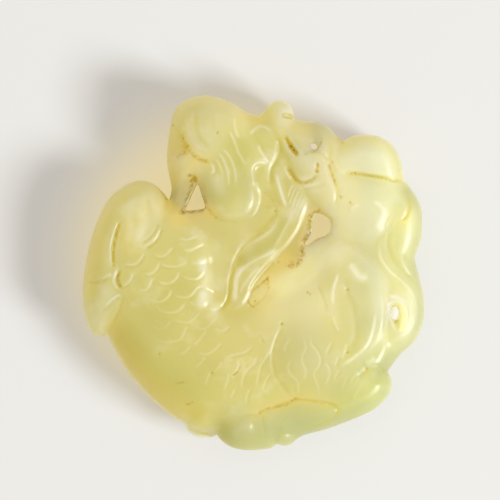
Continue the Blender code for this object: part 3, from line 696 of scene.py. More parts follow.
# Lines cut between the forms of the front, some with brown in them
FRONT_CUTS = (
    Cut(0.41, 0.3, [(15.2, 16.6), (17.5, 16.6), (20.0, 16.2), (22.0, 15.9), (24.0, 15.4), (25.6, 15.4)],
                    0.5),
    Cut(0.38, 0.45, [(13.4, 22.4), (12.9, 19.4), (13.4, 16.6), (14.2, 13.8), (14.0, 10.8)], 0.12),
    Cut(0.26, 0.3, [(12.7, 18.6), (13.2, 16.8), (13.8, 15.2), (14.1, 14.2)], 0.5),
    Cut(0.38, 0.35, [(5.4, 18.0), (6.4, 16.8), (7.3, 15.5), (8.3, 15.1), (9.4, 15.2), (10.3, 15.7),
                     (10.8, 16.6)], 0.5),
    Cut(0.22, 0.3, [(10.9, 18.5), (10.8, 17.4), (10.8, 16.6)], 0.75),
    Cut(0.19, 0.25, [(8.2, 19.7), (9.4, 20.1), (10.8, 20.2), (12.0, 19.7), (12.8, 18.6)], 0.25),
    Cut(0.22, 0.25, [(8.1, 13.9), (9.6, 14.0), (11.0, 14.4), (12.2, 15.0)]),
    Cut(0.34, 0.35, [(-10.6, 20.2), (-9.4, 19.2), (-8.2, 18.7), (-7.4, 18.7)], 0.5),
    Cut(0.14, 0.25, [(-7.3, 18.9), (-6.4, 18.4), (-6.1, 17.4), (-6.4, 16.4), (-7.3, 15.9)]),
    Cut(0.22, 0.4, [(-9.8, 26.8), (-9.7, 24.2), (-8.9, 22.4), (-7.2, 21.0)]),
    Cut(0.38, 0.45, [(4.6, 23.0), (4.4, 20.0), (3.2, 17.2), (3.2, 14.6)]),
    Cut(0.38, 0.4, [(-0.6, 5.2), (-2.2, 3.4), (-3.2, 1.2), (-3.6, -1.4), (-3.8, -3.6), (-4.6, -5.4),
                    (-6.2, -6.8)], 0.1),
    Cut(0.22, 0.35, [(3.6, 1.8), (2.0, 0.2), (0.4, -1.6), (-0.6, -3.4)]),
    Cut(0.26, 0.22, [(-18.8, 4.7), (-17.4, 5.6), (-16.3, 7.0), (-15.9, 8.1)], 0.25),
    Cut(0.30, 0.24, [(-18.2, 3.8), (-16.9, 4.6), (-15.9, 5.8), (-15.3, 7.4)], 0.25),
    Cut(0.22, 0.25, [(-28.5, -1.4), (-27.0, -1.8), (-25.4, -1.7), (-24.2, -1.1)], 0.3),
    Cut(0.26, 0.3, [(-25.6, -6.8), (-24.4, -5.9), (-23.4, -4.9), (-22.3, -4.4)]),
    Cut(0.38, 0.3, [(-22.4, 0.4), (-22.8, -0.8), (-22.6, -1.9), (-22.0, -2.8)], 0.7),
    Cut(0.26, 0.3, [(-21.9, -4.0), (-22.2, -5.6), (-23.2, -7.8), (-24.4, -10.0)], 0.25),
    Cut(0.2, 0.6, [(15.4, -0.8), (15.9, -3.0), (16.8, -5.6), (17.4, -8.8), (17.1, -11.4), (15.9, -13.8)],
                   0.12),
    Cut(0.26, 0.4, [(23.1, 7.2), (22.8, 4.8), (23.6, 2.4), (25.2, 0.6), (27.2, -1.4)]),
    Cut(0.26, 0.35, [(26.2, 12.8), (26.5, 11.2), (26.2, 10.0), (25.2, 8.4)], 0.55),
    Cut(0.20, 0.3, [(5.2, -8.8), (4.0, -11.2), (3.4, -13.4), (3.4, -15.8), (4.0, -17.8), (5.4, -19.8),
                    (6.4, -21.2)], 0.2),
    Cut(0.30, 0.4, [(22.9, -16.6), (20.8, -15.9), (19.2, -16.5), (17.6, -17.8)]),
    Cut(0.22, 0.3, [(10.8, -2.2), (11.8, -4.4), (12.4, -6.6)]),
    Cut(0.19, 0.25, [(1.6, -23.9), (1.8, -25.8), (2.3, -28.4)], 0.2),
    Cut(0.11, 0.2, [(-13.2, -18.7), (-12.0, -18.6), (-11.2, -18.5)], 0.6),
    Cut(0.11, 0.2, [(-11.4, -22.3), (-10.6, -22.2), (-9.9, -21.7)], 0.6),
    Cut(0.19, 0.18, [(-3.5, -17.5), (-2.7, -16.9), (-2.1, -15.8)], 0.7),
    Cut(0.3, 0.8, [(-7.2, 2.6), (-6.9, 0.0), (-6.7, -3.0), (-5.4, -6.6)]),
    Cut(0.28, 0.3, [(1.0, -23.8), (3.8, -22.7), (6.8, -21.6), (10.0, -21.6), (13.0, -22.2), (14.3, -23.2),
                    (13.4, -24.6), (9.0, -26.4), (6.0, -27.4)], 0.3),
    Cut(0.3, 0.35, [(4.0, -29.0), (4.2, -28.0), (5.2, -27.4), (6.6, -27.4), (7.6, -28.2)]),
    Cut(0.22, 0.3, [(-6.2, -26.6), (-4.6, -25.1), (-2.6, -24.4), (1.2, -24.0)]),
)
FRONT_RIDGES = (
    # Head: hair that falls from the brow over the cheek
    Ridge(0.12, 0.23, [(-3.1, 26.4), (-3.0, 24.4), (-2.6, 23.1), (-2.2, 22.2)]),
    Ridge(0.15, 0.20, [(-4.2, 24.2), (-3.4, 22.6), (-2.8, 21.2), (-2.5, 20.2), (-1.9, 19.2), (-1.1, 17.8)]),
    Ridge(0.12, 0.19, [(-5.6, 21.0), (-4.5, 20.2), (-3.7, 19.0), (-3.1, 17.4), (-2.9, 15.8), (-2.9, 14.2)]),
    Ridge(0.12, 0.19, [(-6.2, 20.4), (-5.2, 19.4), (-4.6, 18.0), (-4.1, 16.2), (-4.2, 13.8)]),
    Ridge(0.10, 0.19, [(-6.6, 19.4), (-5.8, 18.4), (-5.3, 17.2), (-5.1, 15.8), (-5.3, 14.4)], 0.5),
    Ridge(0.12, 0.23, [(-7.2, 18.2), (-6.7, 17.6), (-6.7, 16.8), (-7.3, 16.6)]),
    Ridge(0.12, 0.50, [(-11.4, 26.4), (-11.0, 24.0), (-10.2, 22.2), (-9.0, 20.9), (-7.4, 20.2)], 0.4),
    Ridge(0.09, 0.45, [(-8.8, 27.2), (-8.7, 24.8), (-7.8, 23.0), (-6.2, 21.8)], 0.3),
    Ridge(0.09, 0.45, [(-6.4, 27.6), (-6.2, 25.2), (-5.4, 23.4), (-4.4, 21.8)], 0.25),
    Ridge(0.14, 0.23, [(-0.5, 22.8), (-0.1, 23.7), (0.7, 24.4), (1.9, 24.5), (3.2, 23.6)]),
    Ridge(0.15, 0.23, [(0.7, 21.6), (1.4, 20.2), (2.1, 19.2), (2.7, 18.3)], 0.8),
    Ridge(0.17, 0.23, [(2.7, 18.3), (1.7, 18.4), (0.7, 18.3), (0.0, 17.7), (-0.1, 16.8), (0.1, 15.6),
                       (0.5, 14.2)], 0.8),
    # Locks that run down to the strap
    Ridge(0.15, 0.25, [(3.9, 16.8), (4.3, 15.0), (4.9, 13.0), (5.8, 10.6)], 0.8),
    Ridge(0.14, 0.20, [(5.3, 17.9), (5.8, 16.6), (6.6, 15.5)], 0.6),
    Ridge(0.09, 0.12, [(5.9, 12.4), (6.3, 13.8), (6.9, 14.9)], 0.8),
    Ridge(0.09, 0.12, [(6.1, 11.2), (6.7, 13.0), (7.4, 14.5)], 0.8),
    Ridge(0.09, 0.12, [(6.4, 10.2), (7.1, 12.2), (7.9, 14.0)], 0.8),
    Ridge(0.09, 0.12, [(6.7, 9.4), (7.5, 11.4), (8.4, 13.4)], 0.8),
    Ridge(0.09, 0.12, [(7.0, 8.8), (7.9, 10.8), (8.8, 12.8)], 0.8),
    Ridge(0.09, 0.12, [(7.4, 8.6), (8.3, 10.2), (9.2, 12.2)], 0.8),
    Ridge(0.06, 0.2, [(7.0, 11.2), (6.4, 9.6), (5.7, 8.0), (4.9, 6.5), (4.2, 5.2), (3.2, 3.8)], 0.7),
    Ridge(0.12, 0.25, [(4.0, 4.4), (3.3, 3.5), (1.8, 2.7), (0.3, 2.0), (-1.0, 1.2), (-2.0, 0.5)], 0.8),
    Ridge(0.32, 0.42, [(-0.6, 1.2), (-2.0, 0.5), (-2.7, -0.6), (-3.0, -1.9), (-3.1, -3.4), (-3.2, -5.4)],
                       0.9),
    Ridge(0.08, 0.20, [(1.4, 1.2), (0.4, 0.3), (-0.4, -0.6), (-1.1, -1.5), (-1.7, -2.5), (-2.2, -3.9)], 0.8),
    Ridge(0.12, 0.40, [(4.3, 10.6), (4.0, 8.8), (3.1, 7.1), (1.6, 5.9), (-0.7, 4.6), (-2.6, 2.7),
                       (-3.5, 0.4), (-4.4, -1.4), (-5.0, -3.4)], 0.6),
    # Leaf lobe at the left
    Ridge(0.12, 0.2, [(-22.5, 0.9), (-23.2, -0.1), (-23.5, -1.2), (-23.2, -2.3), (-22.4, -3.1)], 0.6),
    Ridge(0.15, 0.19, [(-25.0, -6.0), (-24.1, -4.9), (-23.2, -4.2), (-22.1, -3.7)], 1.0),
    Ridge(0.09, 0.20, [(-18.6, 4.3), (-17.2, 5.0), (-16.1, 6.4), (-15.6, 7.8)], 0.6),
    Ridge(0.09, 0.70, [(-20.7, 12.6), (-20.9, 8.6), (-21.1, 4.2)], 0.3),
    Ridge(0.07, 0.20, [(-25.6, -1.2), (-24.4, -0.6), (-23.6, -0.4)], 0.6),
    # Folded leg and tail
    Ridge(0.17, 0.23, [(14.5, 0.2), (13.8, -1.8), (13.4, -3.6), (13.4, -5.8)], 0.9),
    Ridge(0.06, 0.22, [(13.6, -7.2), (13.8, -8.4), (14.6, -10.2)], 0.5),
    Ridge(0.17, 0.27, [(20.7, -5.6), (20.3, -8.0), (19.8, -10.4), (19.0, -12.2), (17.6, -13.8),
                       (14.4, -16.2)], 0.9),
    Ridge(0.15, 0.50, [(20.4, -14.0), (19.6, -14.8), (18.6, -15.4)], 0.7),
    Ridge(0.16, 0.20, [(21.2, 5.4), (21.5, 2.6), (22.7, 0.6), (24.0, -0.6), (25.5, -1.9), (26.8, -3.4),
                       (27.5, -5.0), (27.7, -6.8), (27.3, -8.8), (26.4, -10.6), (24.9, -12.2)], 0.9),
    Ridge(0.12, 0.19, [(25.0, 3.4), (25.4, 1.6), (26.4, 0.0), (27.4, -1.2)], 0.5),
    Ridge(0.12, 0.16, [(22.3, 7.4), (22.8, 8.4), (23.6, 9.6)], 0.8),
    Ridge(0.12, 0.16, [(23.4, 7.4), (23.8, 8.4), (24.3, 9.4)], 0.8),
    Ridge(0.14, 0.40, [(22.6, -4.1), (24.2, -4.2), (26.2, -5.3)], 0.9),
    # Upper-right bulge, toe, paw, breast, haunch and limb
    Ridge(0.09, 0.60, [(19.6, 12.0), (21.3, 11.4), (22.0, 10.0), (21.4, 8.4), (20.4, 6.8)], 0.8),
    Ridge(0.16, 0.50, [(16.2, 10.2), (16.9, 10.9), (18.0, 11.6)], 0.8),
    Ridge(0.8, 0.7, [(4.2, -28.5), (5.6, -28.1), (7.0, -28.1)], 0.7),
    Ridge(0.35, 0.9, [(-4.0, -27.2), (-2.0, -26.4), (0.2, -26.2)], 0.3),
    Ridge(0.16, 0.6, [(-8.9, -2.6), (-8.6, -4.4), (-7.8, -5.8)], 0.4),
    Ridge(0.22, 0.6, [(16.2, 1.8), (17.0, 0.4), (18.2, -0.9), (19.6, -0.5)], 0.9),
    Ridge(0.07, 0.20, [(11.1, 17.0), (11.9, 16.8), (12.8, 16.5)], 0.5),
    Ridge(0.07, 0.20, [(10.9, 16.1), (11.9, 15.9), (12.9, 15.7)], 0.5),
)
SHOULDER_SCALES = Scales((
    [(-21.8, 1.3), (-20.4, 1.1), (-19.4, 1.4), (-18.7, 2.3), (-18.2, 3.3)],
    [(-18.4, -0.2), (-17.6, -0.5), (-16.8, -0.2), (-16.1, 0.5), (-15.6, 1.7)],
    [(-16.6, 2.9), (-15.8, 2.5), (-14.9, 2.6), (-14.2, 3.2), (-13.4, 4.2)],
    [(-22.4, -2.5), (-21.3, -2.2), (-20.5, -1.3), (-20.0, 0.0)],
    [(-19.4, -3.0), (-18.2, -3.2), (-17.4, -2.5), (-16.8, -1.0)],
    [(-16.3, -1.4), (-15.4, -2.0), (-14.2, -2.0), (-13.2, -1.5), (-12.6, -0.7), (-12.2, 0.2)],
    [(-15.7, 1.4), (-14.6, 0.9), (-13.2, 0.8), (-12.0, 1.1), (-10.8, 1.8)],
    [(-12.2, -0.5), (-11.0, -1.2), (-9.7, -1.3), (-8.8, -0.8), (-8.2, 0.0), (-7.9, 1.0)],
    [(-11.8, 3.6), (-10.6, 3.6), (-9.6, 4.0), (-8.7, 4.5), (-7.9, 4.7)],
    [(-10.4, 1.5), (-9.2, 1.4), (-8.2, 1.7), (-7.4, 2.0)],
    [(-12.6, 5.7), (-11.4, 5.3), (-10.2, 5.6), (-9.2, 6.1)],
    [(-17.7, -4.2), (-16.9, -4.9), (-15.9, -5.1), (-14.9, -4.8), (-14.1, -4.1), (-13.4, -2.8)],
    [(-13.5, -3.8), (-12.3, -4.3), (-10.9, -4.3), (-9.9, -3.5), (-9.1, -2.6), (-8.0, -2.4)],
    [(-16.6, -5.0), (-15.9, -6.3), (-14.7, -6.9), (-13.3, -6.9), (-12.2, -6.4), (-11.2, -5.0)],
    [(-10.9, -4.9), (-9.8, -5.6), (-8.6, -5.8), (-7.9, -5.3), (-7.2, -4.3)],
    [(-8.0, -2.5), (-7.1, -3.1), (-6.2, -3.3), (-5.6, -2.8)],
    [(-7.6, -6.1), (-6.6, -6.4), (-5.6, -6.1), (-4.8, -5.2)],
), lift=0.11, reach=2.6, pale=0.42)
BODY_SCALES = Scales((
    [(-17.2, -8.8), (-16.2, -9.6), (-15.2, -9.6), (-14.3, -9.0), (-13.7, -8.0)],
    [(-13.6, -8.0), (-12.2, -8.5), (-10.8, -8.6), (-9.8, -7.9), (-8.6, -6.6)],
    [(-13.0, -11.8), (-12.0, -11.2), (-11.4, -10.0), (-10.9, -8.9)],
    [(-10.2, -8.8), (-9.0, -9.6), (-7.8, -9.5), (-6.9, -8.7), (-5.9, -7.3)],
    [(-10.0, -12.3), (-9.0, -11.6), (-8.3, -10.6), (-7.6, -9.7)],
    [(-6.6, -9.4), (-5.6, -10.0), (-4.6, -9.9), (-3.8, -9.0)],
    [(-16.4, -11.3), (-15.0, -11.8), (-13.4, -11.8), (-12.4, -11.4)],
    [(-9.4, -13.4), (-8.2, -13.9), (-7.0, -13.6), (-6.0, -12.8), (-5.0, -11.7)],
    [(-12.4, -14.0), (-11.2, -13.4), (-10.4, -12.4)],
    [(-9.8, -16.2), (-8.7, -15.4), (-7.9, -14.2)],
    [(-4.4, -14.4), (-3.0, -14.0), (-1.4, -13.6), (0.0, -12.5)],
    [(-3.8, -17.9), (-2.8, -17.2), (-2.3, -16.0), (-2.4, -14.6)],
    [(-1.9, -19.8), (-1.6, -17.8), (-0.9, -16.5), (0.3, -15.4), (0.9, -13.8)],
    [(0.7, -19.2), (1.0, -17.4), (1.4, -15.8), (2.3, -14.4), (3.2, -12.7)],
    [(1.7, -20.0), (2.2, -18.4), (3.1, -17.0)],
    [(-6.4, -16.9), (-5.6, -16.0), (-5.2, -15.0)],
    [(-4.9, -19.9), (-4.2, -18.4), (-3.9, -16.9)],
    [(-8.0, -19.2), (-7.6, -18.0), (-7.2, -17.0)],
    [(-1.1, -22.2), (-0.9, -20.8), (-0.4, -19.6)],
    [(-3.9, -21.4), (-3.3, -20.6), (-3.0, -19.6)],
), lift=0.055, reach=2.2, pale=0.35)
HAUNCH_SCALES = Scales((
    [(8.5, -18.7), (8.9, -17.4), (8.9, -16.3), (8.4, -15.2), (8.4, -14.2), (9.0, -12.7), (8.6, -10.8)],
    [(11.2, -21.2), (11.1, -19.4), (10.6, -18.0), (10.4, -17.0), (11.2, -15.8), (11.4, -14.5), (10.8, -13.2),
     (9.9, -12.0), (9.8, -10.2)],
    [(7.6, -20.8), (7.8, -19.4), (7.4, -18.1), (6.4, -17.2), (6.0, -16.0), (6.6, -14.4)],
    [(12.1, -19.3), (12.8, -17.9), (13.0, -16.5), (12.2, -15.0)],
    [(13.9, -15.9), (14.4, -14.2)],
    [(15.2, -14.6), (15.5, -13.4), (15.9, -12.0)],
    [(16.4, -18.8), (17.0, -17.8), (17.7, -16.6)],
    [(14.9, -19.8), (15.5, -18.8), (16.0, -17.6)],
    [(16.8, -21.9), (17.5, -20.4), (18.7, -18.4)],
    [(12.3, -13.9), (12.8, -12.8), (13.3, -11.8)],
    [(13.6, -18.2), (14.2, -17.2), (14.6, -16.4)],
    [(5.4, -13.6), (5.6, -12.4), (6.4, -11.2)],
), lift=0.05, reach=1.8, pale=0.4)

# Pockets and slots of the front
FRONT_POCKETS = (
    Pocket([(10.8, 10.2), (11.0, 8.2), (10.8, 6.6), (9.7, 5.4), (8.9, 4.6), (8.6, 3.2), (8.1, 1.7),
            (6.9, 0.5), (5.7, 0.3), (4.5, 1.0), (3.9, 2.3), (4.1, 4.2), (4.9, 6.0), (6.0, 7.8), (7.3, 9.4),
            (9.0, 10.4)], floor=5.6, wall=2.0),
    Pocket([(2.7, -0.9), (1.4, -2.1), (0.0, -3.3), (-0.7, -4.4), (-0.7, -5.2), (-0.1, -5.7), (0.8, -5.3),
            (1.8, -4.3), (2.6, -3.0), (3.0, -1.8)], floor=5.3, wall=0.7),
    Pocket([(-12.0, 24.3), (-11.3, 22.6), (-10.4, 20.6), (-11.2, 20.1), (-12.8, 19.3), (-15.4, 19.4),
            (-15.6, 22.0), (-14.0, 24.4)], floor=5.2, wall=0.8),
    Pocket([(-10.5, 16.4), (-9.7, 16.0), (-9.1, 14.2), (-8.5, 12.2), (-8.7, 11.0), (-11.2, 10.8),
            (-11.8, 10.9), (-11.4, 12.0), (-10.9, 13.8)], floor=5.7, wall=0.5),
    Pocket([(1.0, 11.8), (1.6, 13.4), (2.8, 13.0), (3.6, 11.6), (3.8, 10.0), (3.3, 8.4), (2.2, 7.2),
            (0.6, 6.4), (-0.6, 6.8), (-0.8, 7.8), (0.4, 9.2)], floor=5.3, wall=1.8),
    Pocket([(23.3, -5.6), (24.6, -5.2), (25.6, -6.2), (25.8, -8.2), (25.2, -9.8), (24.2, -9.6),
            (23.5, -7.8)], floor=3.0, wall=0.9),
    Pocket([(5.4, 22.8), (6.1, 22.4), (7.5, 20.0), (7.3, 19.6), (6.1, 20.9)], floor=4.2, wall=0.45),
    Pocket([(-22.3, 8.2), (-22.7, 6.4), (-23.2, 4.0), (-23.2, 1.4), (-23.6, 1.4), (-23.8, 4.0), (-23.3, 6.4),
            (-22.6, 8.2)], floor=5.3, wall=0.35),
    Pocket([(5.2, 26.5), (5.8, 26.9), (6.6, 26.4), (5.9, 25.9)], floor=4.2, wall=0.5),
    Pocket([(-18.2, 12.6), (-16.6, 11.6), (-15.9, 9.6), (-16.2, 7.6), (-17.6, 5.9), (-19.4, 4.9),
            (-18.9, 7.2), (-18.9, 10.0)], floor=5.85, wall=2.0),
    Pocket([(-12.6, -25.8), (-10.6, -26.3), (-8.4, -26.9), (-6.2, -27.7), (-5.9, -30.5), (-11.0, -30.5),
            (-13.6, -27.0)], floor=-0.3, wall=0.5),
)
FRONT_PITS = Pits((
    (16.3, 11.6, 0.28), (14.8, 12.7, 0.25), (19.1, -16.3, 0.22), (-5.9, 23.4, 0.22), (1.5, -11.6, 0.22),
    (-15.7, -13.7, 0.18), (6.4, 1.1, 0.4), (8.7, 5.1, 0.25), (2.4, -1.2, 0.28), (-0.3, -5.7, 0.25),
    (0.3, -4.9, 0.2), (15.9, -2.9, 0.22), (4.9, -8.7, 0.25), (15.9, -13.5, 0.18), (-11.7, 22.6, 0.25),
    (-11.0, 21.2, 0.25), (-6.9, -17.0, 0.2), (9.5, 15.2, 0.2), (17.2, 16.7, 0.2), (10.8, 17.4, 0.22),
    (3.7, 10.3, 0.18), (9.2, -3.4, 0.16), (9.6, -3.7, 0.14), (-13.5, 24.8, 0.22), (6.4, -21.9, 0.25),
    (1.1, -23.7, 0.25), (13.4, 18.5, 0.15), (4.2, 1.6, 0.18), (24.1, -8.5, 0.25),
), depth=0.3, brown=0.9)

# Back forms, plainer
BACK_SOFT = 1.2
BACK_FORMS = tuple(replace(form, soft=BACK_SOFT) for form in (
    Form([(-9.0, 9.0), (-5.6, 3.0), (-4.6, -4.0), (2.0, -6.4), (7.0, -1.0), (7.4, 6.0), (8.6, 12.0),
          (3.0, 18.0), (0.8, 9.6), (-4.0, 7.6)], top=6.1, edge=4.8, roll=3.0),
    Form([(-17.0, 9.0), (-9.0, 8.0), (-6.0, 2.0), (-5.0, -5.0), (2.0, -8.0), (9.0, -8.0), (16.0, -14.0),
          (20.0, -30.0), (-8.0, -34.0), (-26.0, -22.0), (-29.0, -10.0), (-24.0, 2.0)],
         top=7.45, edge=4.8, roll=9.5),
    Form(LEAF_OUTLINE, top=6.2, edge=4.8, roll=3.5),
    Form([(2.0, 30.0), (3.4, 22.0), (7.0, 16.0), (10.0, 11.4), (13.6, 10.6), (15.4, 14.0), (14.4, 20.0),
          (15.6, 25.0), (8.0, 30.0)], top=6.7, edge=5.0, roll=4.0),
    Form([(1.0, 29.0), (3.0, 22.0), (2.4, 16.0), (0.4, 10.4), (-4.0, 8.6), (-8.0, 11.0), (-9.6, 16.0),
          (-12.4, 14.0), (-17.0, 14.0), (-18.0, 28.0), (-9.0, 34.0)], top=7.5, edge=5.2, roll=5.5),
    Form([(15.2, 22.8), (15.6, 14.0), (14.2, 8.4), (18.0, 5.8), (22.0, 6.2), (28.0, 2.4), (33.0, 8.0),
          (29.0, 20.0), (20.0, 28.0)], top=7.6, edge=5.0, roll=5.5),
    Form(TAIL_SCROLL_FORM.outline, top=6.0, edge=5.0, roll=2.6, lean=(-0.03, 0.0)),
    Form([(8.6, 1.0), (12.0, 5.0), (17.0, 4.8), (22.0, 1.0), (23.0, -6.0), (23.6, -16.0), (16.0, -24.0),
          (7.0, -23.0), (2.4, -15.0), (4.4, -6.0)], top=7.5, edge=5.0, roll=8.0),
    Form(PAW_FORM.outline, top=5.9, edge=5.1, roll=2.4),
))
BACK_LINES = (
    Cut(0.9, 0.8, [(-23.4, 0.0), (-21.0, 3.4), (-16.4, 6.6), (-15.2, 11.0), (-14.2, 12.4)]),
    Cut(0.9, 0.8, [(0.9, 27.0), (2.4, 22.0), (3.0, 17.0), (1.6, 12.0), (-1.0, 9.0)]),
    Cut(0.9, 0.8, [(15.2, 22.6), (14.8, 18.0), (15.4, 13.0), (14.0, 9.8)]),
    Cut(0.9, 0.8, [(27.2, 2.4), (23.0, 3.6), (19.0, 5.2), (15.0, 5.8)]),
    Cut(0.8, 0.8, [(8.0, 1.2), (5.4, -4.0), (3.6, -9.4), (2.8, -14.6), (5.0, -20.0), (8.6, -23.4)]),
    Cut(0.8, 0.8, [(-6.2, -25.8), (-3.0, -24.6), (1.0, -24.8), (4.0, -26.8)]),
    Cut(0.7, 0.7, [(22.8, -2.0), (23.0, -8.0), (22.8, -14.0)]),
    Cut(0.7, 0.8, [(-6.8, 5.0), (-5.6, 0.0), (-5.0, -4.6)]),
)
BACK_HAIR = (
    Hair([(-8.0, 24.0), (-7.0, 19.0), (-5.4, 14.0), (-4.6, 11.0)],
         [(0.0, 25.0), (0.8, 20.0), (0.6, 15.0), (-1.0, 11.0)], 5, 0.16, 0.3),
    Hair([(3.6, 15.0), (2.0, 9.0), (-1.6, 4.0), (-3.4, -1.0)],
         [(7.6, 11.0), (6.4, 6.0), (3.0, 1.4), (0.4, -3.0)], 4, 0.2, 0.35),
)


@dataclass(frozen=True)
class Mark:
    """A soft streak or spot of one colour zone along a path."""

    STEP = 0.5

    tint: Tint
    strength: float
    half_width: float
    path: Path

    def weight(self, x: np.ndarray, y: np.ndarray) -> np.ndarray:
        """How strongly the mark shows.

        Args:
            x: places along X.
            y: places along Y.

        Returns:
            Its strength at each place.
        """
        path = np.array(self.path, float)
        if len(path) == 1:
            away = np.hypot(x - path[0, 0], y - path[0, 1])
        else:
            away = measure(curve_through(self.path, self.STEP, False), x, y, False).away
        return self.strength * bell(away / self.half_width)


def streaks(tint: Tint, *rows: tuple[float, float, Path]) -> tuple[Mark, ...]:
    """Marks of one colour zone, from the strength, half width and path of each."""
    return tuple(Mark(tint, *row) for row in rows)


